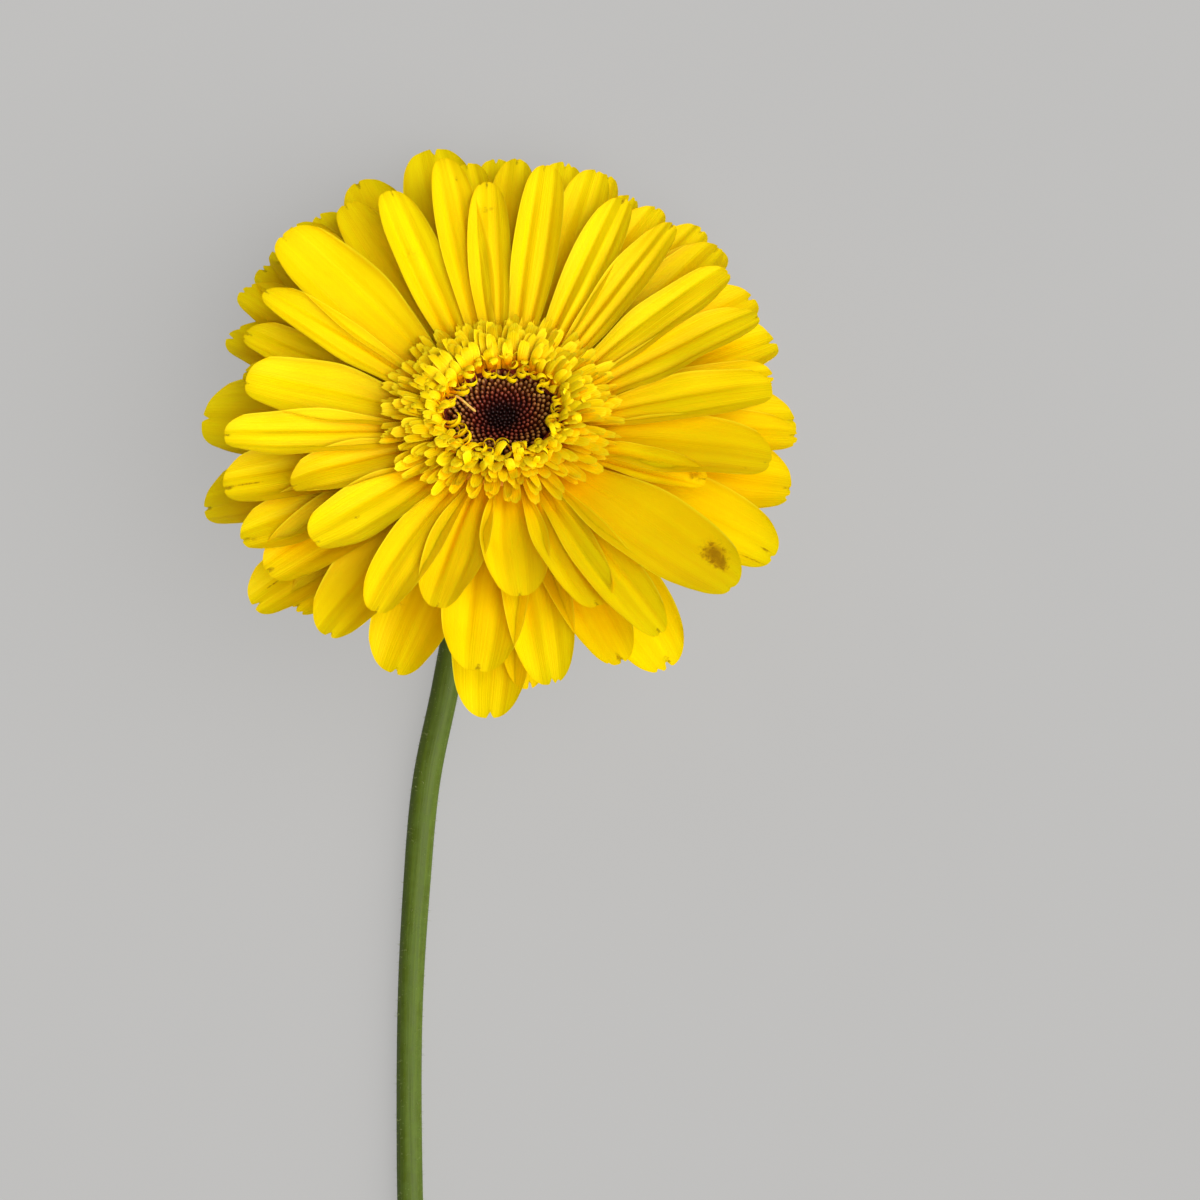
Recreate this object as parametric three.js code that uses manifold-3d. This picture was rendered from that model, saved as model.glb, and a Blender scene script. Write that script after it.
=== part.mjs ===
// A yellow gerbera daisy: one cut bloom on its stem, lying on a surface. The stem runs along the
// surface toward -Y and curves up under the head, which faces up and leans toward +Y.
// Millimetres and degrees, +Z up, origin at the middle of the underside.
//
// The head has a frame of its own: Z is the bloom's axis, azimuth is counted from +X toward the
// side that leans down, and height 0 is the top of the green cup.

import * as THREE from 'three';
import { mergeVertices } from 'three/addons/utils/BufferGeometryUtils.js';
import Module from 'manifold-3d';

const wasm = await Module();
wasm.setup();

// ---------------------------------------------------------------- driving dimensions

const headCentre = new THREE.Vector3(1, 88, 34); // the head frame's origin
const headTilt = 34; // lean of the bloom's axis from upright
const gap = 0.3; // clearance between pieces that touch
const randomSeed = 11;

// Green cup (involucre) and its bracts.
const cupDepth = 20;
const cupProfile = [[0, -20], [3.3, -20], [5.4, -16.5], [10.2, -9.5], [13.8, -3.2], [11.5, 0], [0, 0]];
const cupSides = 20;
const bractThickness = 0.8;
const bractStations = [[0, 1], [0.55, 0.8], [1, 0.12]];
const bractArch = 0.4; // height of a bract's rounded back
const bractBow = 0.5; // how far its middle stands off the straight line from root to tip
const bractStray = { azimuth: 3, length: 0.4 };
const bractRows = [
	{ count: 13, rootRadius: 4.8, rootHeight: -16.4, tipRadius: 10.6, tipHeight: -12.2, width: 3.6 },
	{ count: 17, rootRadius: 7.6, rootHeight: -12.4, tipRadius: 14.2, tipHeight: -8.2, width: 4 },
	{ count: 20, rootRadius: 10.4, rootHeight: -8.2, tipRadius: 16.2, tipHeight: -4.2, width: 4 },
];

// Ring that the ray petals grow from, on top of the cup.
const ringSlope = 0.15; // share of a ring's width that its outer wall leans in
const rayRing = { inner: 9.7, outer: 14.4, bottom: gap, top: 4, sides: 36 };
const petalThickness = 0.9;

// The ray petals lie in four layers. A layer's petals leave the ring at root radius and height.
// Their tips lie on a cone that starts at the level and rises at sideRise beside the head, more by
// riseSwing on the side that leans down and less by as much on the side that leans up. Lift bows
// the blade upward, and dip is the depth of its channel.
// Each row is one petal: azimuth, reach of the tip from the axis, width, and roll where it has one.
const petalLayers = [
	{
		rootRadius: 12, rootHeight: 2.7, level: 4, sideRise: 13, riseSwing: 8, lift: 2.6, dip: 1.3,
		rows: [
			[2, 50, 10], [21, 51, 9.5], [33, 50.5, 8.5], [50, 50, 8], [63, 50, 8.5], [81, 52.5, 8.5], [94, 48.5, 8],
			[103, 54, 9], [116, 51, 9], [140, 55, 13.5], [153, 50.5, 8], [175, 47.5, 12.5], [190, 51, 9.5],
			[204, 41.5, 10.5], [222, 44.5, 11], [244, 49, 9.5], [256, 44, 11], [276, 40, 12], [293, 46.5, 10.5],
			[300, 57.5, 9.5], [316, 58, 16], [336, 41, 6.5, 25], [345, 51, 14],
		],
	},
	{
		rootRadius: 12.5, rootHeight: 1.8, level: 2.5, sideRise: 6, riseSwing: 11, lift: 2.2, dip: 1.2,
		rows: [
			[10, 51.5, 9.5], [42, 55, 11], [57, 54.5, 9.5], [72, 56.5, 10], [88, 57, 9.5], [98, 56, 9],
			[124, 56, 9.5], [134, 56, 9.5], [160, 52, 10], [169, 49.5, 10], [196, 53, 13], [209, 53.5, 13],
			[217, 52.5, 13], [235, 54, 14.5], [266, 51.5, 15], [280, 54.5, 12], [294, 54.5, 12], [330, 57.5, 14.5],
			[355, 55, 10],
		],
	},
	{
		rootRadius: 13, rootHeight: 1.1, level: 1, sideRise: -1, riseSwing: 15, lift: 2, dip: 1.1,
		rows: [
			[4, 55.5, 15.5], [21, 56, 15], [32, 56.5, 13], [44, 58, 13], [50, 59, 10.5], [65, 57, 9],
			[71, 60, 10], [79, 60.5, 12], [92, 60, 10], [104, 63.5, 15], [118, 62.5, 14], [127, 60.5, 11],
			[133, 61.5, 11], [138, 60.5, 11], [143, 60, 11.5], [149, 59.5, 11.5], [159, 57.5, 13.5], [177, 57.5, 17],
			[195, 57.5, 17], [216, 56.5, 13], [222, 51, 11], [247, 50.5, 15], [268, 55, 14.5], [276, 50, 10],
			[304, 55, 15], [348, 55, 16.5],
		],
	},
	{
		rootRadius: 13, rootHeight: 1, level: 0.6, sideRise: -6, riseSwing: -5, lift: 2.4, dip: 1,
		rows: [
			[34, 50, 10.5], [52, 51, 11], [70, 53.4, 11], [90, 48, 10], [110, 53.2, 11],
			[128, 51, 11], [147, 50, 10.5],
		],
	},
];
// Stations along a petal and the share of its full width there, from the root to the tip.
const petalStations = [[0, 0.4], [0.18, 0.53], [0.38, 0.82], [0.6, 1], [0.8, 0.93], [0.94, 0.66], [1, 0.32]];
const petalNotch = 0.9; // depth of the nick between the two teeth of the tip
const petalBend = 0.45; // place along a petal where its curve turns
const petalSway = 2.2; // greatest sideways bend of a petal
const petalRoll = 9; // greatest turn of a blade about its own length

// Yellow trans florets: narrow straps in rings between the ray petals and the disc.
const floretRing = { inner: 9.7, outer: 13, bottom: rayRing.top + gap, top: 7, sides: 32 };
const floretThickness = 0.7;
const floretRows = [
	{ count: 40, rootRadius: 12.1, rootHeight: 5.6, tipRadius: 22.2, tipHeight: 10.6, width: 2.8, bow: 1.2 },
	{ count: 34, rootRadius: 11.3, rootHeight: 6.1, tipRadius: 17.2, tipHeight: 11.6, width: 2.4, bow: 1 },
	{ count: 28, rootRadius: 10.6, rootHeight: 6.2, tipRadius: 11.8, tipHeight: 11.6, width: 2, bow: 1 },
];
const floretStations = [[0, 0.6], [0.6, 1], [1, 0.5]];
const floretStray = { azimuth: 4, length: 0.7, roll: 25 };

// Dark disc of closed buds in the middle.
const discRadius = 9.3;
const discRim = 6.7; // height at the edge
const discMiddle = 5.4; // height in the shallow hollow
const discSides = 28;
const budCount = 72;
const budSpacing = 1; // growth of the spiral's radius with the square root of the bud's number
const budHeight = 1.7;
const budRadius = { middle: 0.5, rim: 0.86 };
const budShown = 0.7; // share of a bud's height that stands out of the disc
const goldenAngle = 137.508;

// Stem: a round stalk from under the cup to its cut end. It leaves the cup along the bloom's axis,
// curves down to the surface, where it is neckSide off the head's middle, and lies there along
// hand-picked points, which give X and Y from the head's centre.
const stemRadius = 2.55;
const stemSides = 10;
const stemSteps = 40;
const neckLength = 4; // straight stretch under the cup
const neckSide = -9.5;
const bendPoints = 6;
const stemPoints = [
	[-13, -51], [-16.5, -68], [-18.6, -90], [-20, -115], [-20, -152], [-18.5, -190], [-16, -234],
];

// ---------------------------------------------------------------- tools

const radians = THREE.MathUtils.degToRad;

function seededRandom(seed) {
	let state = seed;
	return () => {
		state = (state * 1664525 + 1013904223) % 4294967296;
		return state / 4294967296;
	};
}
const random = seededRandom(randomSeed);
const spread = (size) => (random() * 2 - 1) * size;

function polar(radius, azimuth, height) {
	const angle = radians(azimuth);
	return new THREE.Vector3(radius * Math.cos(angle), radius * Math.sin(angle), height);
}

function toSolid(geometry) {
	const bare = geometry.clone();
	bare.deleteAttribute('normal');
	bare.deleteAttribute('uv');
	const merged = mergeVertices(bare, 1e-4);
	return new wasm.Manifold(new wasm.Mesh({
		numProp: 3,
		vertProperties: new Float32Array(merged.attributes.position.array),
		triVerts: new Uint32Array(merged.index.array),
	}));
}

function toGeometry(solid) {
	const mesh = solid.getMesh();
	const geometry = new THREE.BufferGeometry();
	geometry.setAttribute('position', new THREE.BufferAttribute(mesh.vertProperties, 3));
	geometry.setIndex(new THREE.BufferAttribute(mesh.triVerts, 1));
	geometry.computeVertexNormals();
	return geometry;
}

// Joins a core and everything that grows from it into one body.
function fuse(core, growths) {
	let whole = toSolid(core);
	for (const growth of growths) {
		whole = whole.add(toSolid(growth));
	}
	return toGeometry(whole);
}

// A round piece from a profile of [radius, height] points, turned about the bloom's axis.
function turned(profile, sides) {
	const points = profile.map(([radius, height]) => new THREE.Vector2(radius, height));
	return new THREE.LatheGeometry(points, sides).rotateX(Math.PI / 2);
}

function ring({ inner, outer, bottom, top, sides }) {
	const shoulder = outer - (outer - inner) * ringSlope;
	const profile = [[inner, bottom], [outer, bottom], [shoulder, top], [inner, top], [inner, bottom]];
	return turned(profile, sides);
}

// A thin blade along a curve. Each section has a left edge, an upper middle, a right edge and a
// lower middle; both faces are split along the same diagonals. The middle of the last section is
// drawn back by notch, which leaves two teeth.
function blade({ curve, stations, width, thickness, upward, dip = 0, roll = 0, notch = 0 }) {
	const corners = [];
	stations.forEach(([place, share], i) => {
		const centre = curve.getPoint(place);
		const along = curve.getTangent(place);
		const up = upward.clone().addScaledVector(along, -upward.dot(along)).normalize();
		up.applyAxisAngle(along, radians(roll * place));
		const across = along.clone().cross(up);
		const half = width * share / 2;
		const sink = dip * share * share;
		const back = i === stations.length - 1 ? notch : 0;
		const middle = centre.clone().addScaledVector(up, -sink).addScaledVector(along, -back);
		corners.push(
			centre.clone().addScaledVector(across, -half),
			middle.clone().addScaledVector(up, thickness / 2),
			centre.clone().addScaledVector(across, half),
			middle.clone().addScaledVector(up, -thickness / 2),
		);
	});
	const faces = [];
	const last = stations.length - 1;
	for (let i = 0; i < last; i += 1) {
		const [left, upper, right, lower] = [4 * i, 4 * i + 1, 4 * i + 2, 4 * i + 3];
		const [left2, upper2, right2, lower2] = [left + 4, upper + 4, right + 4, lower + 4];
		faces.push(left, upper, upper2, left, upper2, left2, right, upper2, upper, right, right2, upper2);
		faces.push(left, lower2, lower, left, left2, lower2, right, lower, lower2, right, lower2, right2);
	}
	const tip = 4 * last;
	faces.push(0, 3, 1, 2, 1, 3, tip, tip + 1, tip + 3, tip + 2, tip + 3, tip + 1);
	const geometry = new THREE.BufferGeometry().setFromPoints(corners);
	geometry.setIndex(faces);
	return geometry;
}

// ---------------------------------------------------------------- green cup

function involucre() {
	const bracts = [];
	for (const row of bractRows) {
		for (let i = 0; i < row.count; i += 1) {
			const azimuth = i * 360 / row.count + spread(bractStray.azimuth);
			const length = spread(bractStray.length);
			const root = polar(row.rootRadius, azimuth, row.rootHeight);
			const tip = polar(row.tipRadius + length, azimuth + spread(bractStray.azimuth), row.tipHeight + length);
			const bend = root.clone().lerp(tip, 0.5).add(polar(bractBow, azimuth, -bractBow));
			bracts.push(blade({
				curve: new THREE.QuadraticBezierCurve3(root, bend, tip),
				stations: bractStations,
				width: row.width,
				thickness: bractThickness,
				upward: polar(1, azimuth, 0),
				dip: -bractArch,
			}));
		}
	}
	return fuse(turned(cupProfile, cupSides), bracts);
}

// ---------------------------------------------------------------- ray petals

function petal(layer, [azimuth, reach, width, roll = spread(petalRoll)]) {
	const rise = radians(layer.sideRise + layer.riseSwing * Math.sin(radians(azimuth)));
	const span = reach - layer.rootRadius;
	const tipHeight = layer.level + span * Math.tan(rise);
	const sway = THREE.MathUtils.radToDeg(spread(petalSway) / reach);
	const bendRadius = layer.rootRadius + span * petalBend;
	const bendHeight = layer.level + span * petalBend * Math.tan(rise) + layer.lift;
	return blade({
		curve: new THREE.QuadraticBezierCurve3(
			polar(layer.rootRadius, azimuth, layer.rootHeight),
			polar(bendRadius, azimuth + sway, bendHeight),
			polar(reach, azimuth, tipHeight),
		),
		stations: petalStations,
		width,
		thickness: petalThickness,
		upward: new THREE.Vector3(0, 0, 1),
		dip: layer.dip * width / 10,
		roll,
		notch: petalNotch,
	});
}

function rayPetals() {
	const petals = petalLayers.flatMap((layer) => layer.rows.map((row) => petal(layer, row)));
	return fuse(ring(rayRing), petals);
}

// ---------------------------------------------------------------- trans florets

function transFlorets() {
	const straps = [];
	for (const row of floretRows) {
		for (let i = 0; i < row.count; i += 1) {
			const azimuth = i * 360 / row.count;
			const length = spread(floretStray.length);
			const root = polar(row.rootRadius, azimuth, row.rootHeight);
			const tip = polar(row.tipRadius + length, azimuth + spread(floretStray.azimuth), row.tipHeight + length);
			const bend = root.clone().lerp(tip, 0.5).add(polar(-row.bow / 2, azimuth, row.bow));
			straps.push(blade({
				curve: new THREE.QuadraticBezierCurve3(root, bend, tip),
				stations: floretStations,
				width: row.width,
				thickness: floretThickness,
				upward: polar(-1, azimuth, 1),
				roll: spread(floretStray.roll),
			}));
		}
	}
	return fuse(ring(floretRing), straps);
}

// ---------------------------------------------------------------- dark disc

// Height of the dished top of the disc at a share of its radius.
function discHeight(share) {
	return discMiddle + (discRim - discMiddle) * share;
}

function disc() {
	const buds = [];
	for (let i = 1; i <= budCount; i += 1) {
		const radius = budSpacing * Math.sqrt(i);
		const share = radius / discRadius;
		const size = THREE.MathUtils.lerp(budRadius.middle, budRadius.rim, share);
		const bud = new THREE.ConeGeometry(size, budHeight, 5).rotateX(Math.PI / 2);
		bud.translate(0, 0, budHeight * (budShown - 0.5));
		buds.push(bud.translate(...polar(radius, i * goldenAngle, discHeight(share))));
	}
	const profile = [[0, gap], [discRadius, gap], [discRadius, discHeight(1)], [0, discHeight(0)]];
	return fuse(turned(profile, discSides), buds);
}

// ---------------------------------------------------------------- stem

function stem() {
	const tilt = radians(headTilt);
	const down = new THREE.Vector3(0, -Math.sin(tilt), -Math.cos(tilt));
	const top = headCentre.clone().addScaledVector(down, cupDepth + gap);
	const neck = top.clone().addScaledVector(down, neckLength);
	const bend = (neck.z - stemRadius) / (1 - Math.sin(tilt));
	const points = [top, neck];
	for (let i = 1; i <= bendPoints; i += 1) {
		const share = i / bendPoints;
		const angle = tilt + (Math.PI / 2 - tilt) * share;
		const side = neckSide * share ** 1.5;
		const forward = bend * (Math.cos(tilt) - Math.cos(angle));
		const drop = bend * (Math.sin(angle) - Math.sin(tilt));
		points.push(neck.clone().add(new THREE.Vector3(side, -forward, -drop)));
	}
	for (const [x, y] of stemPoints) {
		points.push(new THREE.Vector3(headCentre.x + x, headCentre.y + y, stemRadius));
	}
	const section = new THREE.Shape(Array.from({ length: stemSides }, (_, i) => {
		const angle = 2 * Math.PI * i / stemSides;
		return new THREE.Vector2(stemRadius * Math.cos(angle), stemRadius * Math.sin(angle));
	}));
	return new THREE.ExtrudeGeometry(section, {
		steps: stemSteps,
		extrudePath: new THREE.CatmullRomCurve3(points, false, 'centripetal'),
	});
}

// ---------------------------------------------------------------- the whole flower

function piece(name, geometry, color, roughness) {
	const mesh = new THREE.Mesh(geometry, new THREE.MeshStandardMaterial({ color, roughness, metalness: 0 }));
	mesh.name = name;
	return mesh;
}

const head = new THREE.Group();
head.position.copy(headCentre);
head.rotation.x = -radians(headTilt);
head.add(piece('involucre', involucre(), 0x5f7a2e, 0.7));
head.add(piece('ray_petals', rayPetals(), 0xf6dc0a, 0.55));
head.add(piece('trans_florets', transFlorets(), 0xf3d91c, 0.6));
head.add(piece('disc', disc(), 0x2b0d12, 0.8));

const flower = new THREE.Group();
flower.add(head);
flower.add(piece('stem', stem(), 0x567a2c, 0.6));

export default flower;
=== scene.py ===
"""A yellow gerbera daisy lying on a pale floor: the fine pieces, their finishes, the lights and the camera.

Shapes are worked out in millimetres and put into the meshes in metres. The head has a frame of its own:
Z is the bloom's axis, azimuth is counted from +X toward the side that leans down, and height 0 is the top
of the green cup.
"""

import math

import bpy
import numpy as np
from bpy.props import FloatProperty, FloatVectorProperty, IntProperty, PointerProperty
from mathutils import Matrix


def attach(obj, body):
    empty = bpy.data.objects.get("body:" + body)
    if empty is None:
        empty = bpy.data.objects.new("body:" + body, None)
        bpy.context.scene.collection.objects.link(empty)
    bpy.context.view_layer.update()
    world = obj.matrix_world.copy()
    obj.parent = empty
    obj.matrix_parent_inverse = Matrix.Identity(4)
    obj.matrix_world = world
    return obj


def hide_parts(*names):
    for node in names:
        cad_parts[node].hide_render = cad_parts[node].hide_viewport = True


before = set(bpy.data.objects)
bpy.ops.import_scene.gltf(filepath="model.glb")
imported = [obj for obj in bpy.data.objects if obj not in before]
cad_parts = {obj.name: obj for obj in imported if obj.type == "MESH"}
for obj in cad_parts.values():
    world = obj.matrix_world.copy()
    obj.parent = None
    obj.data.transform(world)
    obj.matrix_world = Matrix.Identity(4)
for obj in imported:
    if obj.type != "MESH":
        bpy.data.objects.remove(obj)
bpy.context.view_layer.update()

bl_info = {
    "name": "Gerbera daisy",
    "version": (1, 0, 0),
    "blender": (4, 5, 0),
    "location": "3D View > Sidebar > Gerbera",
    "description": "Builds a cut yellow gerbera around its packed solids",
    "category": "Object",
}

# ---------------------------------------------------------------- measures of the part, mm and degrees

MM = 0.001
HEAD_CENTRE = np.array([1.0, 88.0, 34.0])
HEAD_TILT = 34.0  # how far the bloom's axis leans from upright toward +Y
PART_SEED = 11

# The green cup as (radius, height), and its rows of bracts, whose roots and tips are (radius, height) too.
CUP_PROFILE = [(3.3, -20), (5.4, -16.5), (10.2, -9.5), (13.8, -3.2), (11.5, 0)]
CUP_DEPTH = 20.0
CUP_RINGS, CUP_SIDES = 40, 72
BRACT_BOW = 0.5  # how far the middle of a bract stands out
BRACT_ARCH = 0.4  # how far it is arched across
BRACT_STRAY = {"azimuth": 3.0, "length": 0.4}
BRACT_ROWS = [
    {"count": 13, "root": (4.8, -16.4), "tip": (10.6, -12.2), "width": 3.6},
    {"count": 17, "root": (7.6, -12.4), "tip": (14.2, -8.2), "width": 4.0},
    {"count": 20, "root": (10.4, -8.2), "tip": (16.2, -4.2), "width": 4.0},
]
DRAWS_PER_BRACT = 3

# The rings that petals and florets grow from, as closed loops of (radius, height).
RAY_RING = [(9.7, 0.3), (14.4, 0.3), (14.2, 2.4), (13.7, 4.0), (9.7, 4.0)]
FLORET_RING = [(9.7, 4.3), (13.0, 4.3), (12.8, 5.8), (12.5, 7.0), (9.7, 7.0)]
RING_SIDES = 96

# Layers of petals. The root is (radius, height). A petal climbs from its level by side rise + rise swing *
# sin(azimuth) degrees, its bend stands out by lift, and dip is how deep a petal 10 mm wide is hollowed. Foot
# is its share of width at the root, and nick the size of its tip's nicks. A row is (azimuth, reach, width),
# and the petal's roll where it is known.
PETAL_LAYERS = {
    "front": {
        "root": (12.0, 2.7), "level": 4.0, "side_rise": 13.0, "rise_swing": 8.0, "lift": 2.6, "dip": 1.3,
        "foot": 0.42, "nick": 0.35,
        "rows": [
            (2, 50, 10), (21, 51, 9.5), (33, 50.5, 8.5), (50, 50, 8), (63, 50, 8.5), (81, 52.5, 8.5),
            (94, 48.5, 8), (103, 54, 9), (116, 51, 9), (140, 55, 13.5), (153, 50.5, 8), (175, 47.5, 12.5),
            (190, 51, 9.5), (204, 41.5, 10.5), (222, 44.5, 11), (244, 49, 9.5), (256, 44, 11), (276, 40, 12),
            (293, 46.5, 10.5), (300, 57.5, 9.5), (316, 58, 16), (336, 41, 6.5, 25), (345, 51, 14),
        ],
    },
    "middle": {
        "root": (12.5, 1.8), "level": 2.5, "side_rise": 6.0, "rise_swing": 11.0, "lift": 2.2, "dip": 1.2,
        "foot": 0.6, "nick": 1.0,
        "rows": [
            (10, 51.5, 9.5), (42, 55, 11), (57, 54.5, 9.5), (72, 56.5, 10), (88, 57, 9.5), (98, 56, 9),
            (124, 56, 9.5), (134, 56, 9.5), (160, 52, 10), (169, 49.5, 10), (196, 53, 13), (209, 53.5, 13),
            (217, 52.5, 13), (235, 54, 14.5), (266, 51.5, 15), (280, 54.5, 12), (294, 54.5, 12),
            (330, 57.5, 14.5), (355, 55, 10),
        ],
    },
    "back": {
        "root": (13.0, 1.1), "level": 1.0, "side_rise": -1.0, "rise_swing": 15.0, "lift": 2.0, "dip": 1.1,
        "foot": 0.6, "nick": 1.2,
        "rows": [
            (4, 55.5, 15.5), (22.5, 56, 15), (32, 56.5, 13), (44, 58, 13), (50, 59, 10.5), (65, 57, 9),
            (71, 60, 10), (79, 60.5, 12), (92, 60, 10), (104, 63.5, 15), (118, 62.5, 14), (127, 60.5, 11),
            (133, 61.5, 11), (138, 60.5, 11), (143, 60, 11.5), (149, 59.5, 11.5), (157.5, 57.5, 13.5),
            (175.5, 57.5, 18), (193.5, 57.5, 17), (216, 56.5, 13), (222, 51, 11), (247, 50.5, 15),
            (268, 55, 14.5), (276, 50, 10), (304, 55, 15), (349.5, 55, 16.5),
        ],
    },
    "under": {
        "root": (13.0, 1.0), "level": 0.6, "side_rise": -6.0, "rise_swing": -5.0, "lift": 2.4, "dip": 1.0,
        "foot": 0.5, "nick": 1.0,
        "rows": [
            (34, 50, 10.5), (52, 51, 11), (70, 53.4, 11), (90, 48, 10), (110, 53.2, 11), (128, 51, 11),
            (147, 50, 10.5),
        ],
    },
}
# Bruises by layer: a petal's azimuth, the mark's middle across and along (0 to 1), its half width across and
# along, and its strength.
PETAL_MARKS = {
    "front": [
        (316, 0.24, 0.84, 0.13, 0.06, 1.1), (316, 0.3, 0.9, 0.08, 0.03, 0.7),
        (336, 0.45, 0.93, 0.2, 0.04, 0.8), (345, 0.7, 0.9, 0.04, 0.03, 0.5),
        (94, 0.5, 0.86, 0.35, 0.025, 0.45), (116, 0.4, 0.68, 0.3, 0.05, 0.35),
        (103, 0.7, 0.9, 0.03, 0.015, 0.8), (222, 0.5, 0.72, 0.04, 0.03, 0.6),
        (244, 0.6, 0.8, 0.03, 0.02, 0.5),
    ],
    "middle": [
        (196, 0.5, 0.9, 0.02, 0.07, 0.9), (209, 0.45, 0.95, 0.06, 0.02, 0.8),
        (330, 0.45, 0.96, 0.02, 0.04, 1.0), (330, 0.68, 0.94, 0.02, 0.05, 0.9),
        (294, 0.5, 0.97, 0.04, 0.02, 0.9),
    ],
    "back": [
        (216, 0.62, 0.85, 0.02, 0.09, 0.9), (304, 0.45, 0.97, 0.05, 0.02, 0.8),
        (247, 0.75, 0.7, 0.05, 0.02, 0.5),
    ],
}
# Lowest and highest value of what differs from petal to petal: the outline's roundness, the nicks' depths and
# places across, how hollow the blade is, the grooves and the ridge between them, how often and how far the
# rims rise and fall, how the tip bends, and how brown the nick is.
PETAL_FORM = {
    "roundness": (2.25, 2.75), "nick": (0.2, 1.2), "chance": (0, 1), "second_nick": (0.3, 0.7),
    "nick_place": (-0.14, 0.14), "second_place": (0.28, 0.45), "side": (-1, 1), "hollow": (1.1, 1.7),
    "groove_place": (0.32, 0.44), "ridge_place": (-0.08, 0.08), "ridge": (0.1, 0.6), "groove": (0.5, 1.3),
    "waves": (1.2, 2.4), "phase": (0, 1), "wave": (0.5, 1.3), "twists": (2.0, 3.2), "twist": (0.4, 1.2),
    "tip_bend": (-0.6, 0.9), "brown": (0.3, 1.2),
}
PETAL_ROWS, PETAL_COLUMNS = 44, 27
PETAL_BEND = 0.45  # place of the bend along a petal
PETAL_SWAY = 2.2  # how far the bend may stray sideways
PETAL_ROLL = 9.0  # how far a petal may be rolled about its length, at its tip
PETAL_WIDEST = 0.6  # place along a petal
PETAL_FULLNESS = 1.05  # width of a fine petal over its solid's
PETAL_LENGTHENING = 1.01  # reach of a fine petal over its solid's
SECOND_NICK_FROM = 0.7  # chance above which a petal has a second nick
NICK_HALF = 0.1  # half a nick's width, as a share of half the petal's
NICK_BROWN = 0.04  # half width of a nick's brown mark
RIDGE_HALF, GROOVE_HALF = 0.14, 0.13
RIM_RISE = 0.3  # how far the rims turn up
RIM_TWIST = 0.18  # how far one rim rises while the other falls
FLOOR_PRESS = 1.1  # how far the floor presses the lowest petals up
FLOOR_BAND = 3.0  # height over the floor up to which it does

DISC_RADIUS = 9.3
DISC_RIM, DISC_MIDDLE = 6.7, 5.4  # heights of its dished top
DISH_WALL = [(9.3, 0.3), (9.3, 3.0), (9.3, 6.2), (9.2, 6.5)]  # (radius, height)
DISH_TOP = [8.8, 7.5, 6.0, 4.5, 3.0, 1.5]  # radii
GOLDEN_ANGLE = 137.508
SPIRAL_POWER = 0.57
# A bud's outline, in shares of its radius and its height.
BUD_PROFILE = np.array([(0.86, -0.35), (1.0, 0.35), (0.86, 0.72), (0.42, 0.95)])
BUD_SIDES = 8
# Bud shade: painted shade, darker low down between the buds.
BUD_SHADE = (0.2, 0.08, 0.06, 1.0)  # what a bud's colour is multiplied by low down
# The one pale style that lies on the disc: its path in the head frame, and its radius at each of its rings.
STYLE_PATH = [(-8.6, 2.6, 9.3), (-7.6, 1.9, 9.1), (-6.2, 0.9, 8.4), (-4.9, 0.2, 7.5)]
STYLE_RADII = 0.25 * np.array([0.7, *[1] * 10, 1.1, 1.2, 0.8])

# The stem: straight under the cup, a bend, then through points (x, y) on the floor from the head's centre.
STEM_RADIUS = 2.55
NECK_LENGTH = 4.0
NECK_SIDE = -9.5  # how far the bend drifts sideways
BEND_POINTS = 6
STEM_POINTS = [(-13, -51), (-16.5, -68), (-18.6, -90), (-20, -115), (-20, -152), (-18.5, -190), (-16, -234)]
STEM_RINGS, STEM_SIDES = 260, 48
STEM_FULLER = 0.12  # how much thicker the stem is near the head
# The rings of the cut end: share of the stem's radius, distance past the end, and how pale the ring is.
CUT_RINGS = [(0.96, 0.12, 0.3), (0.9, 0.05, 0.9), (0.62, -0.1, 1.0), (0.4, -0.35, 0.5), (0.18, -0.5, 0.5)]
HAIR_RADIUS, WOOL_RADIUS = 0.03, 0.035  # of the hairs on the stem and on the cup
GAP = 0.3  # between cup and stem
SHARP_ANGLE = math.radians(75)  # where two faces of a piece meet more sharply, the edge isn't smoothed

# Camera over the head, looking straight down, and the photograph's square frame.
CAMERA_OFFSET = (18.43, -30.97, 480.0)
FRAME_PIXELS = 1200
FOCAL_PIXELS = CAMERA_OFFSET[2] / 0.19  # one pixel is 0.19 mm at the head
SENSOR_WIDTH = 36.0
FLOOR_HALF, FLOOR_LEVEL = 20.0, -0.0001  # in metres


# ---------------------------------------------------------------- sizes and colours to change

def linear(red, green, blue):
    """An 8-bit display colour as the linear colour, with alpha, that a colour socket takes."""
    share = [value / 255 for value in (red, green, blue)]
    return tuple(v / 12.92 if v <= 0.04045 else ((v + 0.055) / 1.055) ** 2.4 for v in share) + (1.0,)


def tint(name, description, red, green, blue):
    """A colour property with an 8-bit display colour as its default."""
    return FloatVectorProperty(
        name=name, description=description, subtype="COLOR", size=4, min=0, max=1,
        default=linear(red, green, blue),
    )


def length(name, description, millimetres):
    """A length property that is given in millimetres and kept in metres."""
    return FloatProperty(
        name=name, description=description, default=millimetres * MM, min=0, unit="LENGTH", precision=5,
    )


def amount(name, description, value):
    """A plain number property that is never below 0."""
    return FloatProperty(name=name, description=description, default=value, min=0)


def slant(name, description, degrees):
    """An angle property that is given in degrees and kept in radians."""
    return FloatProperty(name=name, description=description, default=math.radians(degrees), subtype="ANGLE")


def tally(name, description, value):
    """A property that counts pieces."""
    return IntProperty(name=name, description=description, default=value, min=0, soft_max=10 * value)


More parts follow.
